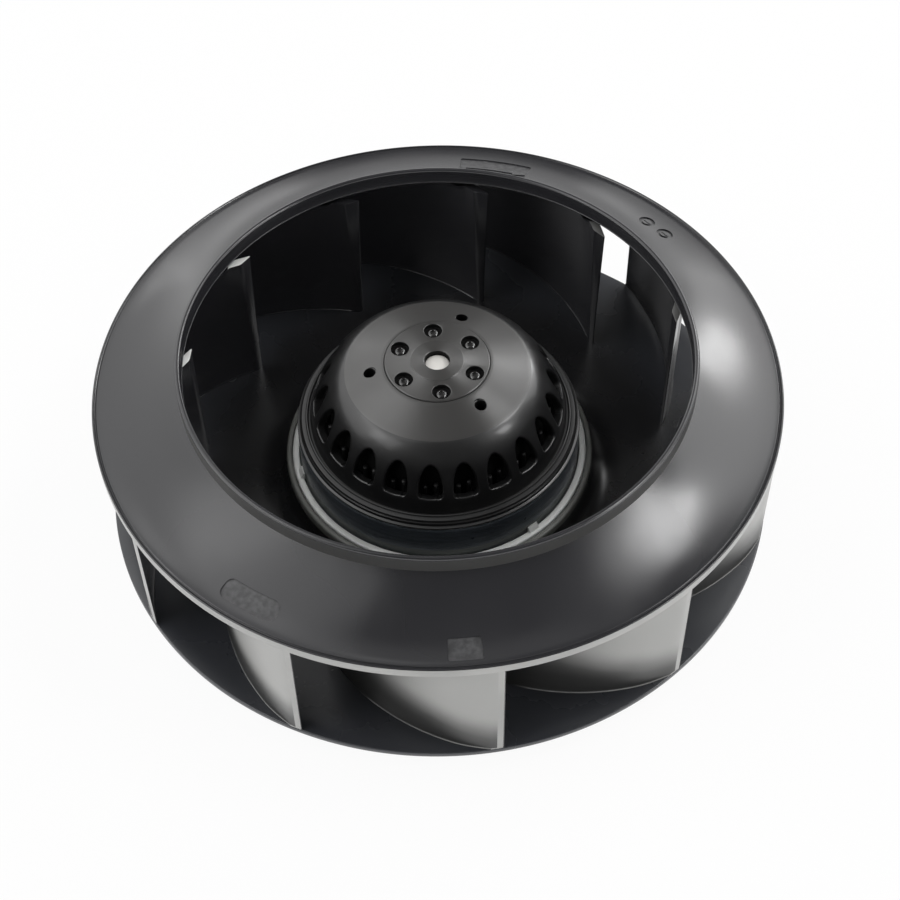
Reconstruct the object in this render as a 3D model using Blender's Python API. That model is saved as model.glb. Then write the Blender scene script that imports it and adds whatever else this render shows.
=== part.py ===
"""Plug fan: a backward curved single inlet impeller carried by an external rotor motor.

Lengths are given in millimetres here and turned into metres as each mesh is made. Z is up. The
origin lies on the fan's axis, on the mounting face of the stator flange, and the inlet looks up.
Each piece of the fan is its own solid, shown at rest.
"""

import math

import bmesh
import bpy

MM = 0.001
FIT = 0.3  # left between two pieces that touch in the real fan
RUN = 0.2  # left between a ball and its track
EDGE = 0.4  # small chamfer on edges
CUT = 5.0  # a cutter runs this far past what it cuts

# Front shroud. A rise is a height above the underside of the backplate.
FLANGE_DROP = 7.0  # the mounting face lies this far under the backplate
IMPELLER_R = 110.0
IMPELLER_SEGMENTS = 56
SHROUD_SPAN = 29.6  # from the collar's bore to the rim
COLLAR_BORE_R = IMPELLER_R - SHROUD_SPAN
COLLAR_BORE_LENGTH = 5.6
COLLAR_WALL = 1.8
COLLAR_RISE = 64.0
COLLAR_R = COLLAR_BORE_R + COLLAR_WALL
TOP_Z = FLANGE_DROP + COLLAR_RISE
FOOT_STEP = 0.3
FOOT_RISE = 58.2
FOOT_FILLET = 1.2
FOOT_R = COLLAR_R + FOOT_STEP  # where the trumpet meets the collar
FOOT_Z = FLANGE_DROP + FOOT_RISE
RIM_RISE = 49.1
RIM_THICK = 2.7
RIM_BAND = 2.0  # width of the lowered band along the edge
RIM_STEP = 0.4
RIM_TOP_Z = FLANGE_DROP + RIM_RISE
RIM_BOTTOM_Z = RIM_TOP_Z - RIM_THICK
BAND_R = IMPELLER_R - RIM_BAND
TRUMPET_POWER = 1.5
TRUMPET_SHARES = (0.05, 0.155, 0.315, 0.53, 0.765)  # of the way from the foot to the band
SHROUD_WALL = 2.1

# Backplate
PLATE_THICK = 2.0
PLATE_LOW_Z = FLANGE_DROP
PLATE_TOP_Z = PLATE_LOW_Z + PLATE_THICK
HUB_RISE = 15.0
HUB_WALL = 1.75
HUB_FILLET_SHARE = 0.407  # of the way from the hub to the blades
HUB_FILLET_SHARES = ((0.49, 0.1), (0.8, 0.345), (0.945, 0.65))  # inward, upward
HUB_ROUND = 1.4
HUB_TOP_Z = PLATE_LOW_Z + HUB_RISE

# Blades
BLADE_COUNT = 11
TRAILING_ANGLE = -80.6  # of the first blade, seen from above, from +X towards +Y
TAIL_INSET = 1.0
NOSE_REACH = 2.4  # the leading edge stands inside the collar by this
TRAILING_R = IMPELLER_R - TAIL_INSET
LEADING_R = COLLAR_BORE_R - NOSE_REACH
BLADE_SWEEP = 38.2  # degrees from leading to trailing edge
BLADE_SAGITTA = 8.2
BLADE_THICK = 2.2
NOSE_THICK = 2.8  # at the ledge; the draft makes a nose thinner towards its foot
NOSE_DRAFT = 1.4  # from foot to ledge
NOSE_RUN = 26.0  # length over which a nose blends into the blade
TAIL_THICK = 1.2
TAIL_RUN = 12.0
NOSE_LENGTH = 0.7
LEDGE_INSET = 0.9
LEDGE_DROP = 1.9
LEDGE_R = FOOT_R - LEDGE_INSET
LEDGE_Z = FOOT_Z - LEDGE_DROP  # flat top of a blade inside the collar
SLICES_BY_FOOT = (-2.75, -1.72, -0.77, 0.17, 1.11, 2.51)  # radii from the collar's foot
SLICE_SHARES = (0.18, 0.36, 0.54, 0.72, 0.88, 1.0)  # from the last of them to the band

# Stator stack and the rotor round it
ROTOR_SEGMENTS = 44
STATOR_SEGMENTS = 28
STACK_R = 34.0
STACK_RISE = 8.0
STACK_HEIGHT = 20.0
STACK_LOW_Z = FLANGE_DROP + STACK_RISE
STACK_TOP_Z = STACK_LOW_Z + STACK_HEIGHT
AIR_GAP = 0.6
LAMINATION_WIDTH = 11.7
ROTOR_BORE_R = STACK_R + AIR_GAP
ROTOR_R = ROTOR_BORE_R + LAMINATION_WIDTH
BELL_STAND = 1.0
BELL_LOW_Z = STACK_TOP_Z + BELL_STAND
RING_INSET = 1.0  # the cast rings stand back from the laminations' bore by this
CAGE_EDGE_INSET = 1.3
CAGE_RING_R = ROTOR_R - CAGE_EDGE_INSET

# Plated ring that seats the impeller on the rotor
SEAT_CLEARANCE = 0.95
SEAT_WALL = 1.7
SEAT_STAND = 0.4
SEAT_DROP = 0.4
SEAT_FLOOR = 1.4
SEAT_FLOOR_WIDTH = 8.25
SEAT_BORE_R = ROTOR_R + SEAT_CLEARANCE
SEAT_R = SEAT_BORE_R + SEAT_WALL
SEAT_TOP_Z = HUB_TOP_Z + SEAT_STAND
SEAT_FLOOR_Z = PLATE_LOW_Z - SEAT_DROP
SEAT_FLOOR_R = SEAT_BORE_R - SEAT_FLOOR_WIDTH
TAB_COUNT = 3
TAB_ANGLE = -170.0
TAB_WIDTH = 4.0
TAB_HEIGHT = 2.8

# Bell of the rotor
BELL_RISE = 23.4
BELL_BAND = 1.4
BELL_SHOULDER = ((1.4, 2.8), (3.7, 3.5), (4.8, 5.2))  # inset from the rotor, rise
BELL_INNER_FOOT = ((7.5, 4.6), (10.7, 3.4))
FLANK_SHARES = ((0.139, 0.286), (0.296, 0.538), (0.522, 0.758), (0.774, 0.912))
FACE_R = 30.0
FACE_RISE = 3.7
FACE_BEND = (0.31, 0.54)  # share inward, share upward
FACE_EDGE_Z = BELL_LOW_Z + BELL_RISE
FACE_INNER_Z = FACE_EDGE_Z + FACE_RISE
CROWN_INSET = 1.0
CROWN_THICK = 2.4
WEB_R = 22.0
WEB_DROP = 1.4
WEB_LOW_Z = FACE_EDGE_Z - WEB_DROP
VENT_COUNT = 22
VENT_ANGLE = -94.0
VENT_WIDTH = 8.0
VENT_TALL = 10.6
VENT_RISE = 8.2
VENT_LOW_Z = BELL_LOW_Z + VENT_RISE
VENT_TOP_Z = VENT_LOW_Z + VENT_TALL
FACE_HOLE_R = 2.0
FACE_HOLE_PITCH_R = 21.7
FACE_HOLE_ANGLES = (68.0, -52.0, -172.0)

# Shaft and bearings
SHAFT_R = 4.0
BEARING_R = 11.0
BEARING_WIDTH = 7.0
BEARING_SEGMENTS = 24
LOWER_BEARING_Z = 5.3
UPPER_BEARING_Z = 43.8
BALL_COUNT = 7
RACE_SPACE = BEARING_R - SHAFT_R
BALL_SHARE = 0.2715  # of that space, and so are the next two
PITCH_SHARE = 0.5286
LAND_SHARE = 0.2
BALL_R = RACE_SPACE * BALL_SHARE
BALL_PITCH_R = SHAFT_R + RACE_SPACE * PITCH_SHARE
INNER_RING_R = BALL_PITCH_R - RACE_SPACE * LAND_SHARE
OUTER_RING_BORE_R = BALL_PITCH_R + RACE_SPACE * LAND_SHARE
BALL_CAGE_WIDTH = 1.2
BALL_CAGE_HEIGHT = 1.8
CLIP_GAP = 0.35
CLIP_THICK = 0.75
CLIP_DEPTH = 0.3
CLIP_REACH = 1.6
CLIP_PLAY = 0.1
CLIP_GROOVE = 0.6
SHAFT_STUB = 1.2  # left under the clip
SHAFT_SINK = 2.0  # the shaft's end lies this far under the boss

# Hub in the middle of the bell, with its rivets
HUB_SEGMENTS = 28
DISC_R = 16.8
DISC_STAND = 0.6
DISC_TOP_Z = FACE_INNER_Z + DISC_STAND
DISC_SEAT = 1.5
DISC_LOW_Z = FACE_EDGE_Z + DISC_SEAT
BOSS_R = 8.6
BOSS_STAND = 0.4
BOSS_TOP_Z = DISC_TOP_Z + BOSS_STAND
SLEEVE_WALL = 3.6
SLEEVE_END_WALL = 2.0
SLEEVE_STEP = 3.0
SLEEVE_R = SHAFT_R + SLEEVE_WALL
SLEEVE_END_R = SHAFT_R + SLEEVE_END_WALL
SLEEVE_STEP_Z = WEB_LOW_Z - SLEEVE_STEP
SHAFT_TOP_Z = BOSS_TOP_Z - SHAFT_SINK
RIVET_COUNT = 6
RIVET_ANGLE = 95.5
RIVET_PITCH_R = 13.0
RIVET_WELL_R = 2.9
RIVET_WELL_FLOOR = 1.1
RIVET_WELL_Z = DISC_LOW_Z + RIVET_WELL_FLOOR
RIVET_STEM_R = 1.3
RIVET_HEAD_R = 2.2
RIVET_HEAD = 1.1
RIVET_CROWN_R = 1.5
RIVET_DIMPLE_R = 0.7
RIVET_DIMPLE = 0.5

# Stator flange, its bearing tube and its threads
FLANGE_INSET = 1.8
FLANGE_R = ROTOR_R - FLANGE_INSET
FLANGE_PLATE_Z = 4.5
FLANGE_GAP = 1.0  # between the flange's rim and the seat ring that turns above it
FLANGE_RIM_Z = SEAT_FLOOR_Z - FLANGE_GAP
FLANGE_RIM = 1.7
FLANGE_RIM_R = FLANGE_R - FLANGE_RIM
THREAD_COUNT = 4
THREAD_ANGLE = 45.0
THREAD_R = 1.65
THREAD_DEPTH = 5.5
THREAD_BOSS_R = 4.4
THREAD_BOSS = 2.0
TUBE_WALL = 2.6
TUBE_R = BEARING_R + TUBE_WALL
CABLE_SPACE = 7.4
CABLE_R = TUBE_R + CABLE_SPACE
CABLE_MARGIN = 6.5
RECESS_R = CABLE_R + CABLE_MARGIN
RECESS_SLOPE = 1.0
RECESS_Z = 1.5
THREAD_MARGIN = 5.5
THREAD_PITCH_R = RECESS_R + THREAD_MARGIN
TUBE_STAND = 0.2
TUBE_TOP_Z = UPPER_BEARING_Z + BEARING_WIDTH + TUBE_STAND
TUBE_FILLET = 1.2
SHOULDER = 1.5
TUBE_BORE_R = BEARING_R - SHOULDER
LOWER_SHOULDER_Z = LOWER_BEARING_Z + BEARING_WIDTH + FIT
SPRING_SPACE = 1.8
UPPER_SHOULDER_Z = UPPER_BEARING_Z - SPRING_SPACE
SPRING_WIDTH = 1.1
SPRING_THICK = 0.3
SPRING_LIFT = 0.45
SPRING_WAVES = 3
SPRING_STEPS = 30
CAP_STAND = 0.2
CAP_FLOOR = 0.8
CAP_WALL = 1.2

# Stator slots and windings
SLOT_COUNT = 12
COIL_SPACE = STACK_R - TUBE_R
SLOT_ROOT_SHARE = 0.338
TOOTH_TIP = 3.0
SLOT_INNER_R = TUBE_R + COIL_SPACE * SLOT_ROOT_SHARE
SLOT_OUTER_R = STACK_R - TOOTH_TIP
SLOT_INNER_WIDTH = 5.0
SLOT_OUTER_WIDTH = 9.4
SLOT_MOUTH = 2.4
SLOT_LIP = 1.0
INSULATOR_THICK = 1.1
INSULATOR_INSET = 0.6
INSULATOR_WALL = 4.0
WINDING_SHARES = (0.265, 0.176)  # of the coil space, left at the tube and at the rotor
WINDING_INNER_R = TUBE_R + COIL_SPACE * WINDING_SHARES[0]
WINDING_OUTER_R = STACK_R - COIL_SPACE * WINDING_SHARES[1]
WINDING_TOP = 8.6
WINDING_LOW = 6.0
WINDING_ROUND = 2.0
LEG_INNER_INSET = 2.2
LEG_OUTER_INSET = 0.6
LEG_OVERLAP = 3.0
PROTECTOR_LENGTH = 12.0
PROTECTOR_WIDTH = 6.4
PROTECTOR_HEIGHT = 3.0
PROTECTOR_ANGLE = 150.0

# Cable inlet
CABLE_ANGLE = 0.0
CABLE_HOLE_R = 4.6
CABLE_BORE_R = 3.2
GROMMET_LIP_R = 5.4
GROMMET_LIP = 0.8


def clear_scene():
    for obj in list(bpy.data.objects):
        bpy.data.objects.remove(obj, do_unlink=True)


def principled(name, colour, metallic, roughness):
    material = bpy.data.materials.new(name)
    material.use_nodes = True
    shader = material.node_tree.nodes["Principled BSDF"]
    shader.inputs["Base Color"].default_value = (*colour, 1.0)
    shader.inputs["Metallic"].default_value = metallic
    shader.inputs["Roughness"].default_value = roughness
    return material


def make(name, build, material=None):
    """One object from a function that fills a bmesh, with every face turned outwards."""
    mesh = bpy.data.meshes.new(name)
    bm = bmesh.new()
    build(bm)
    bmesh.ops.recalc_face_normals(bm, faces=bm.faces)
    bm.to_mesh(mesh)
    bm.free()
    obj = bpy.data.objects.new(name, mesh)
    bpy.context.scene.collection.objects.link(obj)
    if material is None:
        obj.hide_render = True
        obj.display_type = "WIRE"
    else:
        mesh.materials.append(material)
    return obj


def combine(obj, other, operation):
    modifier = obj.modifiers.new(other.name, "BOOLEAN")
    modifier.operation = operation
    modifier.solver = "EXACT"
    modifier.object = other


def polar(radius, degrees):
    angle = math.radians(degrees)
    return radius * math.cos(angle), radius * math.sin(angle)


def spaced(count, first):
    return [first + 360.0 * i / count for i in range(count)]


def corner(bm, x, y, z):
    return bm.verts.new((x * MM, y * MM, z * MM))


def revolve(bm, profile, segments, centre=(0.0, 0.0)):
    """Turns a closed outline of (radius, height) points about an upright axis."""
    rings = []
    for radius, height in profile:
        if radius == 0:
            rings.append([corner(bm, *centre, height)])
            continue
        ring = []
        for step in range(segments):
            x, y = polar(radius, 360.0 * step / segments)
            ring.append(corner(bm, centre[0] + x, centre[1] + y, height))
        rings.append(ring)
    for first, second in zip(rings, rings[1:] + rings[:1]):
        if len(first) == len(second) == 1:
            continue
        for step in range(segments):
            after = (step + 1) % segments
            around = [
                first[step % len(first)],
                second[step % len(second)],
                second[after % len(second)],
                first[after % len(first)],
            ]
            bm.faces.new(list(dict.fromkeys(around)))


def loft(bm, sections):
    """Closes a body through sections that hold the same number of points, capped at both ends."""
    rows = [[corner(bm, *point) for point in section] for section in sections]
    for first, second in zip(rows, rows[1:]):
        for i in range(len(first)):
            j = (i + 1) % len(first)
            bm.faces.new((first[i], first[j], second[j], second[i]))
    bm.faces.new(rows[0][::-1])
    bm.faces.new(rows[-1])


def prism(bm, outline, low, high):
    loft(bm, [[(x, y, z) for x, y in outline] for z in (low, high)])


def turned(outline, degrees):
    """Turns (radial, sideways) points to stand at an angle about the axis."""
    ux, uy = polar(1.0, degrees)
    return [(r * ux - w * uy, r * uy + w * ux) for r, w in outline]


def rods(places, radius, low, high, segments):
    """Round rods at (x, y) places, used as cutters and as bosses."""

    def build(bm):
        for place in places:
            outline = [(0, low), (radius, low), (radius, high), (0, high)]
            revolve(bm, outline, segments, place)

    return build


def shroud_top(radius):
    share = (IMPELLER_R - radius) / (IMPELLER_R - FOOT_R)
    return RIM_TOP_Z + (FOOT_Z - RIM_TOP_Z) * share**TRUMPET_POWER


def shroud_under(radius):
    share = (IMPELLER_R - radius) / (IMPELLER_R - FOOT_R)
    slope = (FOOT_Z - RIM_TOP_Z) * TRUMPET_POWER * share ** (TRUMPET_POWER - 1)
    slope /= IMPELLER_R - FOOT_R
    return shroud_top(radius) - SHROUD_WALL * math.hypot(1.0, slope)


def blade_top(radius):
    if radius <= LEDGE_R:
        return LEDGE_Z
    if radius < FOOT_R:
        share = (radius - LEDGE_R) / (FOOT_R - LEDGE_R)
        return LEDGE_Z + share * (shroud_under(FOOT_R) - FIT - LEDGE_Z)
    if radius > BAND_R:
        share = (radius - BAND_R) / (IMPELLER_R - BAND_R)
        return shroud_under(BAND_R) - FIT + share * (RIM_BOTTOM_Z - shroud_under(BAND_R))
    return shroud_under(radius) - FIT


def between(start, end, shares):
    """Points on the way from start to end, each at its own share across and up."""
    return [
        (start[0] + (end[0] - start[0]) * across, start[1] + (end[1] - start[1]) * up)
        for across, up in shares
    ]


def impeller(plastic):
    """The shroud, the backplate and the blades."""
    radii = [FOOT_R + (BAND_R - FOOT_R) * share for share in TRUMPET_SHARES]
    profile = [(COLLAR_BORE_R + EDGE, TOP_Z), (COLLAR_R - EDGE, TOP_Z), (COLLAR_R, TOP_Z - EDGE)]
    profile += [(COLLAR_R, FOOT_Z + FOOT_FILLET)]
    profile += [(r, shroud_top(r)) for r in [*radii, BAND_R - EDGE]]
    profile += [(BAND_R, shroud_top(BAND_R) - RIM_STEP), (IMPELLER_R - EDGE, RIM_TOP_Z)]
    profile += [(IMPELLER_R, RIM_TOP_Z - EDGE), (IMPELLER_R, RIM_BOTTOM_Z)]
    profile += [(r, shroud_under(r)) for r in [BAND_R, *reversed(radii[1:]), FOOT_R]]
    profile += [(COLLAR_BORE_R, TOP_Z - COLLAR_BORE_LENGTH), (COLLAR_BORE_R, TOP_Z - EDGE)]
    make("impeller_shroud", lambda bm: revolve(bm, profile, IMPELLER_SEGMENTS), plastic)

    bore = SEAT_R + FIT
    hub_r = bore + HUB_WALL
    fillet_foot = (hub_r + (LEADING_R - hub_r) * HUB_FILLET_SHARE, PLATE_TOP_Z)
    fillet_head = (hub_r, HUB_TOP_Z - HUB_ROUND)
    plate = [(IMPELLER_R - EDGE, PLATE_LOW_Z), (IMPELLER_R, PLATE_LOW_Z + EDGE)]
    plate += [(IMPELLER_R, PLATE_TOP_Z - EDGE), (IMPELLER_R - EDGE, PLATE_TOP_Z), fillet_foot]
    plate += between(fillet_foot, fillet_head, HUB_FILLET_SHARES) + [fillet_head]
    plate += [(hub_r - HUB_ROUND / 2, HUB_TOP_Z - HUB_ROUND / 4), (hub_r - HUB_ROUND, HUB_TOP_Z)]
    plate += [(bore, HUB_TOP_Z - EDGE), (bore, PLATE_LOW_Z)]
    make("impeller_backplate", lambda bm: revolve(bm, plate, IMPELLER_SEGMENTS), plastic)

    for number, angle in enumerate(spaced(BLADE_COUNT, TRAILING_ANGLE), start=1):
        sections = blade_sections(angle)
        make(f"blade_{number:02d}", lambda bm, rows=sections: loft(bm, rows), plastic)


def blade_sections(angle):
    """Upright slices of one blade, from its leading edge to its trailing edge."""
    start_x, start_y = polar(LEADING_R, angle - BLADE_SWEEP)
    end_x, end_y = polar(TRAILING_R, angle)
    chord = math.hypot(end_x - start_x, end_y - start_y)
    ex, ey = (end_x - start_x) / chord, (end_y - start_y) / chord
    nx, ny = ey, -ex
    bend_r = (chord**2 / 4 + BLADE_SAGITTA**2) / (2 * BLADE_SAGITTA)
    cx = (start_x + end_x) / 2 - nx * (bend_r - BLADE_SAGITTA)
    cy = (start_y + end_y) / 2 - ny * (bend_r - BLADE_SAGITTA)
    half = math.asin(chord / 2 / bend_r)

    def place(share, side=0.0):
        turn = half * (2 * share - 1)
        across, out = (bend_r + side) * math.sin(turn), (bend_r + side) * math.cos(turn)
        return cx + ex * across + nx * out, cy + ey * across + ny * out

    def share_at(radius):
        low, high = 0.0, 1.0
        for _ in range(30):
            share = (low + high) / 2
            if math.hypot(*place(share)) < radius:
                low = share
            else:
                high = share
        return high

    radii = [FOOT_R + step for step in SLICES_BY_FOOT]
    radii += [radii[-1] + (BAND_R - radii[-1]) * share for share in SLICE_SHARES]
    shares = [NOSE_LENGTH / chord] + [share_at(radius) for radius in radii]
    low = PLATE_TOP_Z + FIT
    sections = []
    for share in [0.0, *shares, 1.0]:
        near_nose = 1.0 - min(share * chord / NOSE_RUN, 1.0)
        near_tail = 1.0 - min((1.0 - share) * chord / TAIL_RUN, 1.0)
        head = BLADE_THICK + (NOSE_THICK - BLADE_THICK) * near_nose
        head += (TAIL_THICK - BLADE_THICK) * near_tail
        foot = head - NOSE_DRAFT * near_nose
        section = [(*place(share, side * foot / 2), low) for side in (1, -1)]
        for side in (-1, 1):
            x, y = place(share, side * head / 2)
            section.append((x, y, blade_top(math.hypot(x, y))))
        sections.append(section)
    return sections


def seat_ring(plated):
    profile = [(SEAT_FLOOR_R, SEAT_FLOOR_Z), (SEAT_R, SEAT_FLOOR_Z)]
    profile += [(SEAT_R, SEAT_TOP_Z), (SEAT_BORE_R, SEAT_TOP_Z)]
    profile += [(SEAT_BORE_R, SEAT_FLOOR_Z + SEAT_FLOOR), (SEAT_FLOOR_R, SEAT_FLOOR_Z + SEAT_FLOOR)]
    ring = make("hub_seat_ring", lambda bm: revolve(bm, profile, ROTOR_SEGMENTS), plated)

    def tabs(bm):
        reach = (ROTOR_R + FIT, (SEAT_R + SEAT_BORE_R) / 2)
        side = TAB_WIDTH / 2
        outline = [(reach[0], -side), (reach[1], -side), (reach[1], side), (reach[0], side)]
        for angle in spaced(TAB_COUNT, TAB_ANGLE):
            prism(bm, turned(outline, angle), SEAT_TOP_Z - TAB_HEIGHT, SEAT_TOP_Z - EDGE)

    combine(ring, make("seat_tabs", tabs), "UNION")


def rotor_bell(painted):
    web_bore = SLEEVE_R + FIT
    disc_seat = DISC_R + FIT
    shoulder = [(ROTOR_R - inset, BELL_LOW_Z + rise) for inset, rise in BELL_SHOULDER]
    face_edge, face_inner = (FACE_R, FACE_EDGE_Z), (disc_seat, FACE_INNER_Z)
    outer = [(ROTOR_R, BELL_LOW_Z), (ROTOR_R, BELL_LOW_Z + BELL_BAND)] + shoulder
    outer += between(shoulder[-1], face_edge, FLANK_SHARES) + [face_edge]
    outer += between(face_edge, face_inner, [FACE_BEND]) + [face_inner]
    foot = [(ROTOR_R - inset, BELL_LOW_Z + rise) for inset, rise in BELL_INNER_FOOT]
    crown = (FACE_R - CROWN_INSET, FACE_EDGE_Z - CROWN_THICK)
    inner = [(disc_seat, DISC_LOW_Z - FIT), (web_bore, DISC_LOW_Z - FIT), (web_bore, WEB_LOW_Z)]
    inner += [(WEB_R, WEB_LOW_Z), crown]
    inner += reversed(between(foot[0], crown, FLANK_SHARES))
    inner += foot + [(ROTOR_BORE_R + RING_INSET, BELL_LOW_Z)]
    bell = make("rotor_bell", lambda bm: revolve(bm, outer + inner, ROTOR_SEGMENTS), painted)

    def vents(bm):
        side = VENT_WIDTH / 2
        arch = [(-side, VENT_LOW_Z), (side, VENT_LOW_Z)]
        spring = VENT_TOP_Z - side
        for step in range(6):
            w, z = polar(side, 180.0 * step / 5)
            arch.append((w, spring + z))
        for angle in spaced(VENT_COUNT, VENT_ANGLE):
            sections = []
            for radius in (FACE_R + CROWN_INSET, ROTOR_R + CUT):
                row = turned([(radius, w) for w, _ in arch], angle)
                sections.append([(x, y, z) for (x, y), (_, z) in zip(row, arch)])
            loft(bm, sections)

    combine(bell, make("vent_cutters", vents), "DIFFERENCE")
    face_holes = [polar(FACE_HOLE_PITCH_R, a) for a in FACE_HOLE_ANGLES]
    drill = rods(face_holes, FACE_HOLE_R, WEB_LOW_Z - CUT, TOP_Z, 16)
    combine(bell, make("face_hole_cutters", drill), "DIFFERENCE")
    stems = rods(rivet_places(), RIVET_STEM_R + FIT, WEB_LOW_Z - CUT, TOP_Z, 10)
    combine(bell, make("web_hole_cutters", stems), "DIFFERENCE")


def rivet_places():
    return [polar(RIVET_PITCH_R, angle) for angle in spaced(RIVET_COUNT, RIVET_ANGLE)]


def rotor_hub(painted, bright):
    bore = SHAFT_R + FIT / 2
    end_z = UPPER_BEARING_Z + BEARING_WIDTH + FIT
    profile = [(bore, end_z), (SLEEVE_END_R, end_z), (SLEEVE_END_R, SLEEVE_STEP_Z)]
    profile += [(SLEEVE_R, SLEEVE_STEP_Z), (SLEEVE_R, DISC_LOW_Z), (DISC_R, DISC_LOW_Z)]
    profile += [(DISC_R, DISC_TOP_Z - EDGE), (DISC_R - EDGE, DISC_TOP_Z), (BOSS_R, DISC_TOP_Z)]
    profile += [(BOSS_R - EDGE / 2, BOSS_TOP_Z), (bore + EDGE, BOSS_TOP_Z), (bore, BOSS_TOP_Z - EDGE)]
    hub = make("rotor_hub", lambda bm: revolve(bm, profile, HUB_SEGMENTS), painted)
    wells = rods(rivet_places(), RIVET_WELL_R, RIVET_WELL_Z, TOP_Z, 12)
    combine(hub, make("rivet_well_cutters", wells), "DIFFERENCE")
    stems = rods(rivet_places(), RIVET_STEM_R + FIT, WEB_LOW_Z - CUT, TOP_Z, 10)
    combine(hub, make("rivet_stem_cutters", stems), "DIFFERENCE")

    head_z = RIVET_WELL_Z + FIT
    head_top = head_z + RIVET_HEAD
    tail_z = WEB_LOW_Z - FIT
    rivet = [(0, tail_z - RIVET_HEAD), (RIVET_HEAD_R, tail_z - RIVET_HEAD), (RIVET_HEAD_R, tail_z)]
    rivet += [(RIVET_STEM_R, tail_z), (RIVET_STEM_R, head_z), (RIVET_HEAD_R, head_z)]
    rivet += [(RIVET_HEAD_R, head_top - RIVET_DIMPLE), (RIVET_CROWN_R, head_top)]
    rivet += [(RIVET_DIMPLE_R, head_top), (0, head_top - RIVET_DIMPLE)]
    for number, place in enumerate(rivet_places(), start=1):
        build = lambda bm, at=place: revolve(bm, rivet, 10, at)
        make(f"hub_rivet_{number}", build, bright)


def rotor_core(steel, cast):
    top = BELL_LOW_Z - FIT
    stack = [(ROTOR_BORE_R, STACK_LOW_Z), (ROTOR_R, STACK_LOW_Z)]
    stack += [(ROTOR_R, top), (ROTOR_BORE_R, top)]
    make("rotor_laminations", lambda bm: revolve(bm, stack, ROTOR_SEGMENTS), steel)
    low = SEAT_FLOOR_Z + SEAT_FLOOR + FIT
    high = STACK_LOW_Z - FIT
    inner = ROTOR_BORE_R + RING_INSET
    ring = [(inner, low + RING_INSET), (SEAT_FLOOR_R, low), (CAGE_RING_R, low)]
    ring += [(CAGE_RING_R, high), (inner, high)]
    make("rotor_cage_ring", lambda bm: revolve(bm, ring, ROTOR_SEGMENTS), cast)


def shaft(bright, plated):
    clip_top = LOWER_BEARING_Z - CLIP_GAP
    clip_low = clip_top - CLIP_THICK
    end = clip_low - SHAFT_STUB
    groove_r = SHAFT_R - CLIP_GROOVE
    profile = [(0, end), (SHAFT_R - EDGE, end), (SHAFT_R, end + EDGE)]
    profile += [(SHAFT_R, clip_low - CLIP_PLAY), (groove_r, clip_low - CLIP_PLAY)]
    profile += [(groove_r, clip_top + CLIP_PLAY), (SHAFT_R, clip_top + CLIP_PLAY)]
    profile += [(SHAFT_R, SHAFT_TOP_Z - EDGE), (SHAFT_R - EDGE, SHAFT_TOP_Z), (0, SHAFT_TOP_Z)]
    make("rotor_shaft", lambda bm: revolve(bm, profile, BEARING_SEGMENTS), bright)

    def clip(bm):
        angles = [30.0 + 300.0 * i / 15 for i in range(16)]
        outline = [polar(SHAFT_R + CLIP_REACH, a) for a in angles]
        outline += [polar(SHAFT_R - CLIP_DEPTH, a) for a in reversed(angles)]
        prism(bm, outline, clip_low, clip_top)

    make("retaining_ring", clip, plated)


def bearing(name, low, bright, brass):
    """One ball bearing as its inner ring, its outer ring and its balls in their cage."""
    high = low + BEARING_WIDTH
    middle = (low + high) / 2
    track = BALL_R + RUN

    def groove(land_r, inward):
        """Points of a track cut into a ring, from its lower lip to its upper lip."""
        dip = abs(land_r - BALL_PITCH_R)
        lip = math.sqrt(track**2 - dip**2)
        start = math.atan2(lip, dip)
        points = []
        for step in range(5):
            turn = -start + 2 * start * step / 4
            reach = track * math.cos(turn)
            points.append((BALL_PITCH_R + (reach if inward else -reach), middle + track * math.sin(turn)))
        return points

    bore = SHAFT_R + FIT / 2
    inner = [(bore, high), (bore, low), (INNER_RING_R, low)]
    inner += groove(INNER_RING_R, False) + [(INNER_RING_R, high)]
    build = lambda bm: revolve(bm, inner, BEARING_SEGMENTS)
    make(f"{name}_bearing_inner_ring", build, bright)

    outer = [(BEARING_R, high), (BEARING_R, low), (OUTER_RING_BORE_R, low)]
    outer += groove(OUTER_RING_BORE_R, True) + [(OUTER_RING_BORE_R, high)]
    build = lambda bm: revolve(bm, outer, BEARING_SEGMENTS)
    make(f"{name}_bearing_outer_ring", build, bright)

    near, far = BALL_PITCH_R - BALL_CAGE_WIDTH / 2, BALL_PITCH_R + BALL_CAGE_WIDTH / 2
    base, head = middle - BALL_CAGE_HEIGHT / 2, middle + BALL_CAGE_HEIGHT / 2
    band = [(near, base), (far, base), (far, head), (near, head)]
    cage = make(f"{name}_ball_cage", lambda bm: revolve(bm, band, BEARING_SEGMENTS), brass)

    def balls(bm):
        circle = [polar(BALL_R, -90.0 + 45.0 * step) for step in range(5)]
        circle[0], circle[-1] = (0, -BALL_R), (0, BALL_R)
        for angle in spaced(BALL_COUNT, 0.0):
            outline = [(r, middle + z) for r, z in circle]
            revolve(bm, outline, 10, polar(BALL_PITCH_R, angle))

    combine(cage, make(f"{name}_balls", balls), "UNION")


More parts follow.
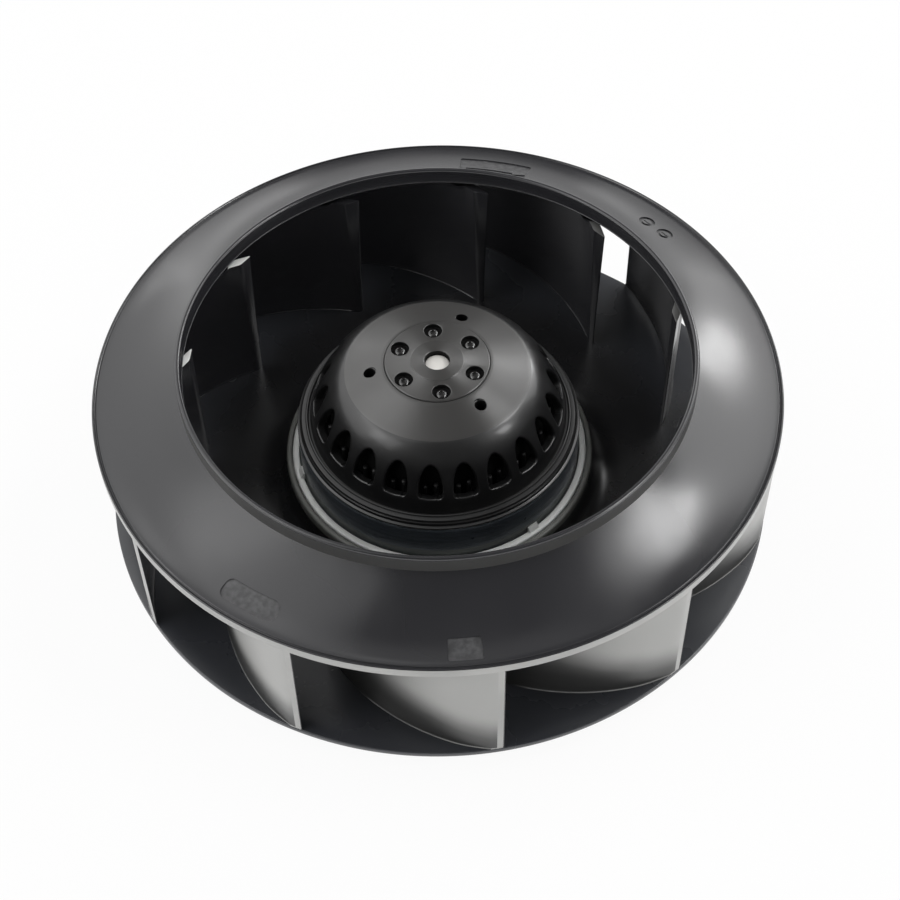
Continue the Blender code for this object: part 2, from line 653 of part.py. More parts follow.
def flange(cast):
    """The die cast flange with its bearing tube, threads and cable hole."""
    seat = BEARING_R + FIT / 2
    profile = [(seat, RECESS_Z), (RECESS_R - RECESS_SLOPE, RECESS_Z), (RECESS_R, 0.0)]
    profile += [(FLANGE_R - EDGE, 0.0), (FLANGE_R, EDGE), (FLANGE_R, FLANGE_RIM_Z)]
    profile += [(FLANGE_RIM_R, FLANGE_RIM_Z)]
    profile += [(FLANGE_RIM_R, FLANGE_PLATE_Z), (TUBE_R + TUBE_FILLET, FLANGE_PLATE_Z)]
    profile += [(TUBE_R, FLANGE_PLATE_Z + TUBE_FILLET), (TUBE_R, TUBE_TOP_Z), (seat, TUBE_TOP_Z)]
    profile += [(seat, UPPER_SHOULDER_Z), (TUBE_BORE_R, UPPER_SHOULDER_Z)]
    profile += [(TUBE_BORE_R, LOWER_SHOULDER_Z), (seat, LOWER_SHOULDER_Z)]
    body = make("stator_flange", lambda bm: revolve(bm, profile, STATOR_SEGMENTS), cast)
    places = [polar(THREAD_PITCH_R, angle) for angle in spaced(THREAD_COUNT, THREAD_ANGLE)]
    bosses = rods(places, THREAD_BOSS_R, RECESS_Z, FLANGE_PLATE_Z + THREAD_BOSS, 16)
    combine(body, make("thread_bosses", bosses), "UNION")
    holes = rods(places, THREAD_R, -CUT, THREAD_DEPTH, 16)
    combine(body, make("thread_cutters", holes), "DIFFERENCE")
    cable = rods([polar(CABLE_R, CABLE_ANGLE)], CABLE_HOLE_R, -CUT, FLANGE_RIM_Z + CUT, 20)
    combine(body, make("cable_hole_cutter", cable), "DIFFERENCE")


def grommet(rubber):
    neck = CABLE_HOLE_R - FIT
    low, high = RECESS_Z - FIT, FLANGE_PLATE_Z + FIT
    profile = [(CABLE_BORE_R, low - GROMMET_LIP), (GROMMET_LIP_R, low - GROMMET_LIP)]
    profile += [(GROMMET_LIP_R, low), (neck, low), (neck, high), (GROMMET_LIP_R, high)]
    profile += [(GROMMET_LIP_R, high + GROMMET_LIP), (CABLE_BORE_R, high + GROMMET_LIP)]
    place = polar(CABLE_R, CABLE_ANGLE)
    make("cable_grommet", lambda bm: revolve(bm, profile, 20, place), rubber)


def bearing_cap(plated):
    edge = BEARING_R - FIT / 2
    low, top = RECESS_Z + CAP_STAND, LOWER_BEARING_Z - FIT
    floor = low + CAP_FLOOR
    profile = [(0, low), (edge, low), (edge, top), (edge - CAP_WALL, top)]
    profile += [(edge - CAP_WALL, floor), (0, floor)]
    make("bearing_cap", lambda bm: revolve(bm, profile, BEARING_SEGMENTS), plated)


def wave_spring(plated):
    """A flat spring washer with three waves, between the shoulder and the upper bearing."""
    middle = (UPPER_SHOULDER_Z + UPPER_BEARING_Z) / 2
    edge = BEARING_R - RUN
    low, high = -SPRING_THICK / 2, SPRING_THICK / 2
    strip = [(edge - SPRING_WIDTH, low), (edge, low), (edge, high), (edge - SPRING_WIDTH, high)]

    def build(bm):
        rows = []
        for step in range(SPRING_STEPS):
            angle = 360.0 * step / SPRING_STEPS
            lift = middle + SPRING_LIFT * math.cos(math.radians(SPRING_WAVES * angle))
            row = []
            for radius, height in strip:
                x, y = polar(radius, angle)
                row.append(corner(bm, x, y, lift + height))
            rows.append(row)
        for first, second in zip(rows, rows[1:] + rows[:1]):
            for i in range(4):
                j = (i + 1) % 4
                bm.faces.new((first[i], first[j], second[j], second[i]))

    make("wave_spring", build, plated)


def slot_outline(shrink):
    """The two sides of a slot as (radial, sideways) points, each set in by shrink."""
    near, far = SLOT_INNER_R + shrink, SLOT_OUTER_R - shrink
    side_in, side_out = SLOT_INNER_WIDTH / 2 - shrink, SLOT_OUTER_WIDTH / 2 - shrink
    return [(near, -side_in), (far, -side_out)], [(far, side_out), (near, side_in)]


def coil(low, high):
    """Outline of the wound ring at one end of the stack."""
    inner, outer, cut = WINDING_INNER_R, WINDING_OUTER_R, WINDING_ROUND
    profile = [(inner, low + cut), (inner + cut, low), (outer - cut, low), (outer, low + cut)]
    profile += [(outer, high - cut), (outer - cut, high), (inner + cut, high)]
    return profile + [(inner, high - cut)]


def stator(steel, plastic, copper, cream):
    bore = TUBE_R + FIT
    ring = [(bore, STACK_LOW_Z), (STACK_R, STACK_LOW_Z)]
    ring += [(STACK_R, STACK_TOP_Z), (bore, STACK_TOP_Z)]
    stack = make("stator_stack", lambda bm: revolve(bm, ring, STATOR_SEGMENTS), steel)
    angles = spaced(SLOT_COUNT, 0.0)

    def slots(bm):
        one_side, other_side = slot_outline(0.0)
        mouth = SLOT_MOUTH / 2
        lip_r, past_r = SLOT_OUTER_R + SLOT_LIP, STACK_R + CUT
        lip = [(lip_r, -mouth), (past_r, -mouth), (past_r, mouth), (lip_r, mouth)]
        for angle in angles:
            outline = turned(one_side + lip + other_side, angle)
            prism(bm, outline, STACK_LOW_Z - 2 * CUT, STACK_TOP_Z + 2 * CUT)

    cutter = make("slot_cutters", slots)
    combine(stack, cutter, "DIFFERENCE")

    def insulator(name, near, away, wall_end):
        """A flat ring on the end of the stack, with a wall that keeps the coils off the tube."""
        wall_r = WINDING_INNER_R - FIT
        rim_r = STACK_R - INSULATOR_INSET
        profile = [(bore + FIT, near), (rim_r, near), (rim_r, away), (wall_r, away)]
        profile += [(wall_r, wall_end), (wall_r - INSULATOR_THICK, wall_end)]
        profile += [(wall_r - INSULATOR_THICK, away), (bore + FIT, away)]
        piece = make(name, lambda bm: revolve(bm, profile, STATOR_SEGMENTS), cream)
        combine(piece, cutter, "DIFFERENCE")

    top_low = STACK_TOP_Z + FIT
    top_high = top_low + INSULATOR_THICK
    insulator("upper_insulator", top_low, top_high, top_high + INSULATOR_WALL)
    base_high = STACK_LOW_Z - FIT
    base_low = base_high - INSULATOR_THICK
    insulator("lower_insulator", base_high, base_low, base_low - INSULATOR_WALL)

    upper = coil(top_high + FIT, top_high + FIT + WINDING_TOP)
    lower = coil(base_low - FIT - WINDING_LOW, base_low - FIT)
    winding = make("stator_winding", lambda bm: revolve(bm, upper, STATOR_SEGMENTS), copper)
    ring_below = make("lower_coil_ring", lambda bm: revolve(bm, lower, STATOR_SEGMENTS))

    def legs(bm):
        least, most = WINDING_INNER_R + LEG_INNER_INSET, WINDING_OUTER_R - LEG_OUTER_INSET
        one_side, other_side = slot_outline(FIT)
        rows = [(min(max(r, least), most), w) for r, w in one_side + other_side]
        low, high = base_low - FIT - LEG_OVERLAP, top_high + FIT + LEG_OVERLAP
        for angle in angles:
            prism(bm, turned(rows, angle), low, high)

    combine(winding, make("coil_legs", legs), "UNION")
    combine(winding, ring_below, "UNION")

    middle = (WINDING_INNER_R + WINDING_OUTER_R) / 2
    near, far = middle - PROTECTOR_WIDTH / 2, middle + PROTECTOR_WIDTH / 2
    side = PROTECTOR_LENGTH / 2
    low = top_high + FIT + WINDING_TOP + FIT
    outline = turned([(near, -side), (far, -side), (far, side), (near, side)], PROTECTOR_ANGLE)
    block = lambda bm: prism(bm, outline, low, low + PROTECTOR_HEIGHT)
    make("thermal_protector", block, plastic)


def main():
    clear_scene()
    impeller_plastic = principled("impeller_plastic", (0.045, 0.045, 0.05), 0.0, 0.38)
    black_paint = principled("black_paint", (0.02, 0.02, 0.021), 0.0, 0.35)
    plated_steel = principled("plated_steel", (0.72, 0.73, 0.70), 1.0, 0.25)
    bright_steel = principled("bright_steel", (0.75, 0.74, 0.72), 1.0, 0.22)
    rotor_steel = principled("rotor_steel", (0.05, 0.065, 0.08), 0.8, 0.4)
    stator_steel = principled("stator_steel", (0.30, 0.31, 0.33), 0.9, 0.45)
    cast_aluminium = principled("cast_aluminium", (0.62, 0.63, 0.64), 0.9, 0.5)
    copper = principled("copper_winding", (0.62, 0.27, 0.12), 0.8, 0.4)
    cream = principled("insulator_plastic", (0.80, 0.76, 0.62), 0.0, 0.5)
    black_plastic = principled("black_plastic", (0.03, 0.03, 0.03), 0.0, 0.5)
    rubber = principled("rubber", (0.02, 0.02, 0.02), 0.0, 0.75)
    brass = principled("ball_cage", (0.70, 0.55, 0.25), 0.9, 0.35)

    impeller(impeller_plastic)
    seat_ring(plated_steel)
    rotor_bell(black_paint)
    rotor_hub(black_paint, bright_steel)
    rotor_core(rotor_steel, cast_aluminium)
    shaft(bright_steel, plated_steel)
    bearing("lower", LOWER_BEARING_Z, bright_steel, brass)
    bearing("upper", UPPER_BEARING_Z, bright_steel, brass)
    flange(cast_aluminium)
    grommet(rubber)
    bearing_cap(plated_steel)
    wave_spring(plated_steel)
    stator(stator_steel, black_plastic, copper, cream)


main()
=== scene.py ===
"""Looks of the plug fan: fine surfaces, finishes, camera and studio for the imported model.

Lengths are in millimetres in this script and turned into metres as each mesh is made. Heights and
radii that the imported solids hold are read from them, so each fine piece lies on its own solid.
"""

import math

import bmesh
import bpy
from mathutils import Matrix, Vector


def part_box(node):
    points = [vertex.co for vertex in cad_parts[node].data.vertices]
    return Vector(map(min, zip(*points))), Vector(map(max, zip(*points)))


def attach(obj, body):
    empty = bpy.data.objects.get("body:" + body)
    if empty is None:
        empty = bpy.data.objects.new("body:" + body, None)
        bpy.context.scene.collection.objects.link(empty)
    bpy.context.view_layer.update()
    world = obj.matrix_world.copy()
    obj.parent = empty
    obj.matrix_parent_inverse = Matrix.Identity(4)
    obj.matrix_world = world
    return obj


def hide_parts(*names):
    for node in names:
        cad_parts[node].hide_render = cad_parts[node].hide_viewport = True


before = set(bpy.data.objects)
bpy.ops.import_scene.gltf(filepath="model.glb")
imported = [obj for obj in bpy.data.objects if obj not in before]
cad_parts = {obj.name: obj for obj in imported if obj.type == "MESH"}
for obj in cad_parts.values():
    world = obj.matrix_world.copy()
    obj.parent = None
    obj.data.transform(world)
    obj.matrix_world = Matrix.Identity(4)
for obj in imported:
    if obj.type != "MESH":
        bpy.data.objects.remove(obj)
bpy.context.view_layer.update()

MM = 0.001


def reach(node):
    """Outer radius, lowest and highest height of a turned solid."""
    low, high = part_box(node)
    return high[0] / MM, low[2] / MM, high[2] / MM


IMPELLER_R, RIM_BOTTOM_Z, TOP_Z = reach("impeller_shroud")
_, PLATE_LOW_Z, HUB_TOP_Z = reach("impeller_backplate")
SEAT_R, SEAT_FLOOR_Z, SEAT_TOP_Z = reach("hub_seat_ring")
ROTOR_R, STACK_LOW_Z, STACK_TOP_Z = reach("rotor_laminations")
_, BELL_LOW_Z, BELL_TOP_Z = reach("rotor_bell")
DISC_R, HUB_LOW_Z, BOSS_TOP_Z = reach("rotor_hub")
SHAFT_R, SHAFT_LOW_Z, SHAFT_TOP_Z = reach("rotor_shaft")
FLANGE_R, _, TUBE_TOP_Z = reach("stator_flange")

COLUMNS = 352  # round the axis, on every large turned surface
SMOOTH_ANGLE = math.radians(32)

# Shroud
COLLAR_BORE_R = 80.4
COLLAR_R = 82.2
COLLAR_FOOT_Z = 65.4  # where the bore's wall ends
FOOT_R = 82.5
FOOT_Z = 65.2
RIM_TOP_Z = 56.1
BAND_R = IMPELLER_R - 2.0
GROOVE_R = 108.95  # fine groove beside the rim's crest
GROOVE_DEPTH = 0.35
FLAT_R = 105.6  # the trumpet's curve runs out flat from here
RIM_HANG = 0.5
TRUMPET_POWER = 1.5
SHROUD_WALL = 2.1

# Backplate
PLATE_TOP_Z = PLATE_LOW_Z + 2.0
HUB_R = 51.0
HUB_FOOT_R = 62.0
HUB_BORE_R = SEAT_R + 0.3

# Blades
BLADE_COUNT = 11
TRAILING_ANGLE = -81.2
TRAILING_R = 109.75
LEADING_R = 78.0
BLADE_SWEEP = 37.6
BLADE_SAGITTA = 8.2
BLADE_HALF = 1.1
LEDGE_R = 81.6
LEDGE_Z = 63.3
FLARE = 1.5  # width of the fillet under the shroud
BEAD = 0.3  # weld bead along a blade's foot

# Bell
VENT_COUNT = 22
VENT_ANGLE = -94.0
FACE_R = 30.0
FACE_EDGE_Z = 59.4
FACE_LIFT = 0.2
DISC_SEAT_R = DISC_R + 0.12
FACE_HOLE_R = 2.0
FACE_HOLE_PITCH_R = 21.7
FACE_HOLE_ANGLES = (68.0, -52.0, -172.0)
BELL_WALL = 2.6

# Hub and rivets
BOSS_R = 8.6
DISC_TOP_Z = BOSS_TOP_Z - 0.4
RIVET_COUNT = 6
RIVET_ANGLE = 95.5
RIVET_PITCH_R = 13.0
WELL_R = 2.9
WELL_FLOOR_Z = 62.0


# Mesh tools

def polar(radius, degrees):
    angle = math.radians(degrees)
    return radius * math.cos(angle), radius * math.sin(angle)


def spaced(count, first):
    """Angles of places spread evenly round the axis."""
    return [first + 360.0 * i / count for i in range(count)]


def steps_between(start, end, count):
    return [start + (end - start) * i / count for i in range(count + 1)]


def corner(bm, x, y, z):
    return bm.verts.new((x * MM, y * MM, z * MM))


def arc(centre, radius, start, end, steps):
    """Points of an arc in a profile, angles in degrees from +R towards +Z."""
    turns = [polar(radius, angle) for angle in steps_between(start, end, steps)]
    return [(centre[0] + dr, centre[1] + dz) for dr, dz in turns]


def bezier(points, steps):
    """Cubic curve through the first and last of four points, first point left out."""
    result = []
    for step in range(1, steps + 1):
        t = step / steps
        weights = ((1 - t) ** 3, 3 * t * (1 - t) ** 2, 3 * t * t * (1 - t), t**3)
        result.append(tuple(sum(w * p[axis] for w, p in zip(weights, points)) for axis in (0, 1)))
    return result


def revolve(bm, profile, segments, centre=(0.0, 0.0), closed=True, start=0.0):
    """Turns (radius, height) points about an upright axis, from a start angle in degrees."""
    rings = []
    for radius, height in profile:
        if radius == 0:
            rings.append([corner(bm, *centre, height)])
            continue
        ring = []
        for angle in spaced(segments, start):
            x, y = polar(radius, angle)
            ring.append(corner(bm, centre[0] + x, centre[1] + y, height))
        rings.append(ring)
    pairs = list(zip(rings, rings[1:]))
    if closed:
        pairs.append((rings[-1], rings[0]))
    for one, other in pairs:
        if len(one) == len(other) == 1:
            continue
        for step in range(segments):
            after = (step + 1) % segments
            around = [
                one[step % len(one)],
                other[step % len(other)],
                other[after % len(other)],
                one[after % len(one)],
            ]
            bm.faces.new(list(dict.fromkeys(around)))


def loft(bm, sections, capped=True):
    """Joins closed sections of as many points."""
    rows = [[corner(bm, *point) for point in section] for section in sections]
    for one, other in zip(rows, rows[1:]):
        for i in range(len(one)):
            j = (i + 1) % len(one)
            bm.faces.new((one[i], one[j], other[j], other[i]))
    if capped:
        bm.faces.new(rows[0][::-1])
        bm.faces.new(rows[-1])


def smooth(mesh):
    mesh.shade_smooth()
    mesh.set_sharp_from_angle(angle=SMOOTH_ANGLE)


def mesh_object(name, build):
    mesh = bpy.data.meshes.new(name)
    bm = bmesh.new()
    build(bm)
    bmesh.ops.recalc_face_normals(bm, faces=bm.faces)
    bm.to_mesh(mesh)
    bm.free()
    smooth(mesh)
    obj = bpy.data.objects.new(name, mesh)
    bpy.context.scene.collection.objects.link(obj)
    return obj

def piece(name, build, material, body="rotor", nodes=()):
    """A finished piece that rides on a body and may stand for some of its solids."""
    obj = mesh_object(name, build)
    obj.data.materials.append(material)
    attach(obj, body)
    if nodes:
        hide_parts(*nodes)
    return obj
def turned(name, profile, material, nodes=(), body="rotor", segments=COLUMNS):
    """A piece turned from its profile about the fan's axis."""
    build = lambda bm: revolve(bm, profile, segments)
    return piece(name, build, material, body, nodes)


def paint(obj, finishes, choose):
    """Adds finishes to a piece's first, and gives each face the number of one of them.

    choose takes a face's centre, its distance from the axis and the upward part of its normal.
    """
    for material in finishes:
        obj.data.materials.append(material)
    for face in obj.data.polygons:
        centre = face.center / MM
        face.material_index = int(choose(centre, centre.xy.length, face.normal.z))


def cut(obj, name, build, operation="DIFFERENCE"):
    """Applies a Boolean with a cutter that is deleted afterwards."""
    cutter = mesh_object(name, build)
    modifier = obj.modifiers.new(name, "BOOLEAN")
    modifier.operation = operation
    modifier.solver = "EXACT"
    modifier.object = cutter
    graph = bpy.context.evaluated_depsgraph_get()
    result = bpy.data.meshes.new_from_object(obj.evaluated_get(graph))
    obj.modifiers.clear()
    old = obj.data
    obj.data = result
    bpy.data.meshes.remove(old)
    bpy.data.objects.remove(cutter, do_unlink=True)
    smooth(obj.data)
# Materials

PLASTIC_SHINE = 0.72
PLAIN_COAT_ROUGHNESS = 0.03  # the shader's own; it only counts where there is a coat

# Reliefs that several finishes share: scale and detail of the noise, depth in mm, strength
SINK = (26.0, 1.0, 0.03, 0.4)
RIPPLE = (160.0, 3.0, 0.004, 0.5)
GRAIN = (2600.0, 3.0, 0.006, 0.5)


def new_node(tree, kind, **inputs):
    node = tree.nodes.new(kind)
    for name, value in inputs.items():
        node.inputs[name].default_value = value
    return node


def math_node(tree, operation, *values):
    """A Math node; a number goes straight into its socket."""
    node = new_node(tree, "ShaderNodeMath")
    node.operation = operation
    for socket, value in zip(node.inputs, values):
        if isinstance(value, float):
            socket.default_value = value
        else:
            tree.links.new(value, socket)
    return node.outputs[0]


def ramp(tree, value, stops):
    """Colours along a value, from (position, colour) stops."""
    node = new_node(tree, "ShaderNodeValToRGB")
    elements = node.color_ramp.elements
    while len(elements) < len(stops):
        elements.new(0.5)
    for element, (position, colour) in zip(elements, stops):
        element.position = position
        element.color = (*colour, 1.0)
    tree.links.new(value, node.inputs["Fac"])
    return node.outputs["Color"]


class Recipe:
    """A Principled material with its noise, bump and ramp nodes."""

    def __init__(
        self, name, metallic=0.0, specular=0.5, coat=0.0, coat_roughness=PLAIN_COAT_ROUGHNESS
    ):
        self.material = bpy.data.materials.new(name)
        self.material.use_nodes = True
        self.tree = self.material.node_tree
        self.shader = self.tree.nodes["Principled BSDF"]
        self.shader.inputs["Metallic"].default_value = metallic
        self.shader.inputs["Specular IOR Level"].default_value = specular
        self.shader.inputs["Coat Weight"].default_value = coat
        self.shader.inputs["Coat Roughness"].default_value = coat_roughness
        self.place = self.node("ShaderNodeTexCoord").outputs["Object"]
        self.normal = None

    def link(self, a, b):
        self.tree.links.new(a, b)

    def node(self, kind, **inputs):
        return new_node(self.tree, kind, **inputs)

    def noise(self, scale, detail=4.0, stretch=None, distortion=0.0):
        place = self.place
        if stretch:
            mapping = self.node("ShaderNodeMapping", Scale=stretch)
            self.link(place, mapping.inputs["Vector"])
            place = mapping.outputs["Vector"]
        node = self.node("ShaderNodeTexNoise", Scale=scale, Detail=detail, Distortion=distortion)
        self.link(place, node.inputs["Vector"])
        return node.outputs["Fac"]

    def between(self, value, low, high, near=0.15, far=0.85):
        """A value from low to high while the given one goes from near to far."""
        node = self.node("ShaderNodeMapRange")
        node.interpolation_type = "SMOOTHSTEP"
        limits = {"From Min": near, "From Max": far, "To Min": low, "To Max": high}
        for name, number in limits.items():
            node.inputs[name].default_value = number
        self.link(value, node.inputs["Value"])
        return node.outputs["Result"]

    def radius_and_height(self):
        """Distance from the axis, and height, in metres."""
        split = self.node("ShaderNodeSeparateXYZ")
        self.link(self.place, split.inputs[0])
        flat = self.node("ShaderNodeCombineXYZ")
        for axis in "XY":
            self.link(split.outputs[axis], flat.inputs[axis])
        length = self.node("ShaderNodeVectorMath")
        length.operation = "LENGTH"
        self.link(flat.outputs[0], length.inputs[0])
        return length.outputs["Value"], split.outputs["Z"]

    def clouded(self, value, scale, detail, sway, near, far):
        """0 to 1 while a value goes from near to far, with limits that a noise sways."""
        cloud = self.between(self.noise(scale, detail), -sway, sway)
        return self.between(math_node(self.tree, "ADD", value, cloud), 0.0, 1.0, near, far)

    def colour(self, value, *stops):
        self.link(ramp(self.tree, value, stops), self.shader.inputs["Base Color"])

    def tones(self, scale, detail, dark, light, spread=0.3, stretch=None):
        """A colour that wanders between two."""
        self.colour(self.noise(scale, detail, stretch), (spread, dark), (1 - spread, light))

    def roughness(self, value, low, high):
        self.link(self.between(value, low, high), self.shader.inputs["Roughness"])

    def gloss(self, scale, detail, low, high):
        self.roughness(self.noise(scale, detail), low, high)

    def bump(self, value, depth, strength):
        """Relief of the given depth in millimetres, laid over the reliefs before it."""
        node = self.node("ShaderNodeBump", Strength=strength, Distance=depth * MM)
        self.link(value, node.inputs["Height"])
        if self.normal:
            self.link(self.normal, node.inputs["Normal"])
        self.normal = node.outputs["Normal"]
        self.link(self.normal, self.shader.inputs["Normal"])

    def reliefs(self, *rows):
        for scale, detail, depth, strength in rows:
            self.bump(self.noise(scale, detail), depth, strength)

    def waves(self, scale, distortion=0.0, kind="RINGS"):
        """Fine parallel lines: RINGS about the axis, or BANDS one above the other."""
        node = self.node("ShaderNodeTexWave", Scale=scale, Distortion=distortion)
        node.wave_type = kind
        node.bands_direction = node.rings_direction = "Z"
        self.link(self.place, node.inputs["Vector"])
        return node.outputs["Fac"]


def finish(name, tones, gloss, relief, **constants):
    """A mottled finish. Each row starts with its noise's scale and detail.

    The tones go on with a dark and a light colour, the gloss with the lowest and the highest
    roughness, and the relief with a depth in millimetres and a strength.
    """
    r = Recipe(name, **constants)
    r.tones(*tones)
    r.gloss(*gloss)
    r.reliefs(relief)
    return r.material


def grained(name, dark, light, roughness, grain=0.02, **constants):
    """A plain finish with a fine even grain."""
    tones, gloss = (50.0, 4.0, dark, light), (180.0, 4.0, *roughness)
    return finish(name, tones, gloss, (1200.0, 4.0, grain, 0.6), **constants)


def moulded_plastic():
    """Black glass-filled nylon, satin, with faint flow marks, scuffs and a fine moulded grain."""
    r = Recipe("impeller_plastic", specular=PLASTIC_SHINE)
    r.tones(14.0, 2.0, (0.016, 0.016, 0.018), (0.024, 0.024, 0.027), 0.15)
    r.roughness(r.noise(34.0, 4.0, (1.0, 0.55, 1.0), 0.5), 0.15, 0.28)
    r.reliefs(SINK, RIPPLE, GRAIN)
    return r.material


def painted_light_blade_face():
    """The nylon on the blades' outer faces, with painted light: a painted highlight paler towards
    the tip and the shroud, and painted shade darker towards the foot.
    """
    r = Recipe("blade_face", specular=PLASTIC_SHINE)
    radius, height = r.radius_and_height()
    # Painted light: the colour rises with height and radius, a painted highlight up and out, and
    # painted shade low and inward.
    slanted = math_node(r.tree, "MULTIPLY_ADD", radius, 0.7, height)
    above = r.clouded(slanted, 40.0, 2.0, 0.0012, 0.0850, 0.1040)
    outer = r.between(radius, 0.0, 1.0, 0.083, 0.106)
    levels = (0.0, 0.018), (0.22, 0.050), (0.58, 0.165), (1.0, 0.36)
    stops = [(place, (level, level, level * 0.97)) for place, level in levels]
    r.colour(math_node(r.tree, "MULTIPLY", above, outer), *stops)
    r.gloss(30.0, 2.0, 0.30, 0.42)
    r.reliefs(SINK, GRAIN)
    return r.material


def painted_light_plastic(name, dark, light):
    """The nylon painted pale where light falls on it: painted highlights and reflections on narrow
    outer faces, ledge tops, edges and the collar's wall.
    """
    tones = (60.0, 3.0, (dark, dark, dark * 0.98), (light, light, light * 0.97), 0.15)
    return finish(name, tones, (80.0, 3.0, 0.34, 0.46), GRAIN, specular=PLASTIC_SHINE)


def plate_plastic():
    """The nylon of the backplate, paler and bluish between the blades as painted light, and darker
    inside the inlet as painted shade.
    """
    r = Recipe("plate_plastic", specular=PLASTIC_SHINE)
    radius, _ = r.radius_and_height()
    # Painted light outward of the inlet and painted shade inside it, by radius.
    share = r.clouded(radius, 30.0, 3.0, 0.004, 0.072, 0.094)
    r.colour(share, (0.0, (0.016, 0.016, 0.017)), (1.0, (0.036, 0.038, 0.044)))
    r.gloss(34.0, 4.0, 0.20, 0.34)
    r.reliefs(RIPPLE, GRAIN)
    return r.material


def painted_highlight_seam():
    """The weld bead at a blade's foot, paler towards the tip: a painted highlight on its rounded
    top.
    """
    r = Recipe("weld_seam", specular=PLASTIC_SHINE)
    radius, _ = r.radius_and_height()
    # Painted highlight, rising with radius.
    share = r.clouded(radius, 120.0, 2.0, 0.002, 0.091, 0.105)
    stops = (0.0, (0.018, 0.018, 0.019)), (0.5, (0.06, 0.06, 0.06)), (1.0, (0.15, 0.15, 0.145))
    r.colour(share, *stops)
    r.gloss(200.0, 3.0, 0.28, 0.42)
    r.reliefs((1600.0, 3.0, 0.01, 0.6))
    return r.material


def face_paint():
    """Black paint on the flat face, dulled and combed by its turned surface."""
    r = Recipe("face_paint", specular=1.3)
    r.shader.inputs["Anisotropic"].default_value = 0.8
    r.shader.inputs["Anisotropic Rotation"].default_value = 0.25
    tangent = r.node("ShaderNodeTangent")
    tangent.direction_type = "RADIAL"
    tangent.axis = "Z"
    r.link(tangent.outputs["Tangent"], r.shader.inputs["Tangent"])
    r.tones(30.0, 4.0, (0.024, 0.023, 0.022), (0.033, 0.032, 0.030))
    r.gloss(140.0, 5.0, 0.34, 0.42)
    r.bump(r.waves(600.0, 0.4), 0.003, 0.4)
    r.reliefs((700.0, 3.0, 0.012, 0.5))
    return r.material


def bright_steel():
    """Ground steel with fine turning marks."""
    r = Recipe("bright_steel", metallic=1.0)
    r.tones(300.0, 4.0, (0.70, 0.69, 0.67), (0.84, 0.83, 0.81))
    r.gloss(500.0, 4.0, 0.16, 0.28)
    r.bump(r.waves(1400.0, 0.2), 0.003, 0.6)
    return r.material


def layered_steel(name, dark, light, roughness, metallic=0.85):
    """Edges of stacked sheets: streaks that run round the stack, and a soft relief in layers."""
    r = Recipe(name, metallic=metallic)
    r.tones(700.0, 5.0, dark, light, stretch=(0.06, 0.06, 1.0))
    r.gloss(220.0, 4.0, *roughness)
    r.bump(r.waves(100.0, kind="BANDS"), 0.03, 0.6)
    r.reliefs((800.0, 3.0, 0.01, 0.5))
    return r.material


def wound_copper():
    """Enamelled wires lying side by side under lacquer."""
    r = Recipe("copper_winding", metallic=0.8, coat=0.4, coat_roughness=0.2)
    r.tones(260.0, 4.0, (0.42, 0.15, 0.06), (0.68, 0.30, 0.13))
    r.gloss(300.0, 4.0, 0.28, 0.42)
    r.bump(r.waves(330.0, 2.2), 0.25, 0.8)
    return r.material


PLASTIC = moulded_plastic()
# Blade outer faces with a painted highlight towards the tip and top, and painted shade at the foot.
BLADE_FACE = painted_light_blade_face()
# Painted reflection: the pale rim faces, blade tail ends and backplate's outer edge stand in for
# the bright floor that they reflect.
RIM_FACE = painted_light_plastic("rim_face", 0.32, 0.44)
# Painted highlights on the tops of the blades' ledges, a bright one and a dimmer one.
LEDGE_BRIGHT_HIGHLIGHT = painted_light_plastic("ledge_bright_highlight", 0.80, 0.92)
LEDGE_DIM_HIGHLIGHT = painted_light_plastic("ledge_dim_highlight", 0.10, 0.15)
# Painted light: the collar's outer wall is a little paler than the rest of the nylon.
COLLAR_PAINTED_LIGHT = painted_light_plastic("collar_wall_painted_light", 0.034, 0.050)
# Backplate with painted light between the blades and painted shade inside the inlet.
PLATE_PLASTIC = plate_plastic()
# Weld bead with a painted highlight towards the tip.
SEAM = painted_highlight_seam()
ERODED = finish(  # the matt, spark-eroded floor of the marks on the shroud
    "eroded_plastic",
    (620.0, 4.0, (0.022, 0.022, 0.024), (0.060, 0.060, 0.063), 0.35),
    (420.0, 3.0, 0.34, 0.50),
    (700.0, 3.0, 0.10, 0.8),
    specular=PLASTIC_SHINE,
)
HUB_PLASTIC = grained(  # the same nylon inside the inlet, painted pale grey: painted light that lifts it out of the shade inside the inlet
    "hub_plastic", (0.17, 0.175, 0.16), (0.23, 0.235, 0.22), (0.30, 0.40), 0.01
)
PAINT = finish(  # glossy black paint over die-cast metal
    "black_paint",
    (30.0, 4.0, (0.006, 0.006, 0.0065), (0.010, 0.010, 0.010)),
    (140.0, 5.0, 0.30, 0.42),
    (420.0, 3.0, 0.012, 0.5),
    specular=0.75,
    coat=0.3,
    coat_roughness=0.14,
)
SHADE_PAINT = finish(  # painted shade: blacker, rougher paint for the dark wall behind the vents and for the hub's wells and bore
    "painted_shade_black",
    (60.0, 4.0, (0.003, 0.003, 0.003), (0.006, 0.006, 0.006)),
    (140.0, 5.0, 0.55, 0.70),
    (420.0, 3.0, 0.02, 0.5),
    specular=0.2,
)
RIVET_PAINT = finish(  # glossier paint pooled on the rivets' heads
    "rivet_paint",
    (300.0, 2.0, (0.010, 0.010, 0.010), (0.022, 0.021, 0.020), 0.15),
    (500.0, 3.0, 0.12, 0.22),
    (900.0, 3.0, 0.01, 0.6),
    specular=0.7,
    coat=0.6,
    coat_roughness=0.06,
)
FACE_PAINT = face_paint()
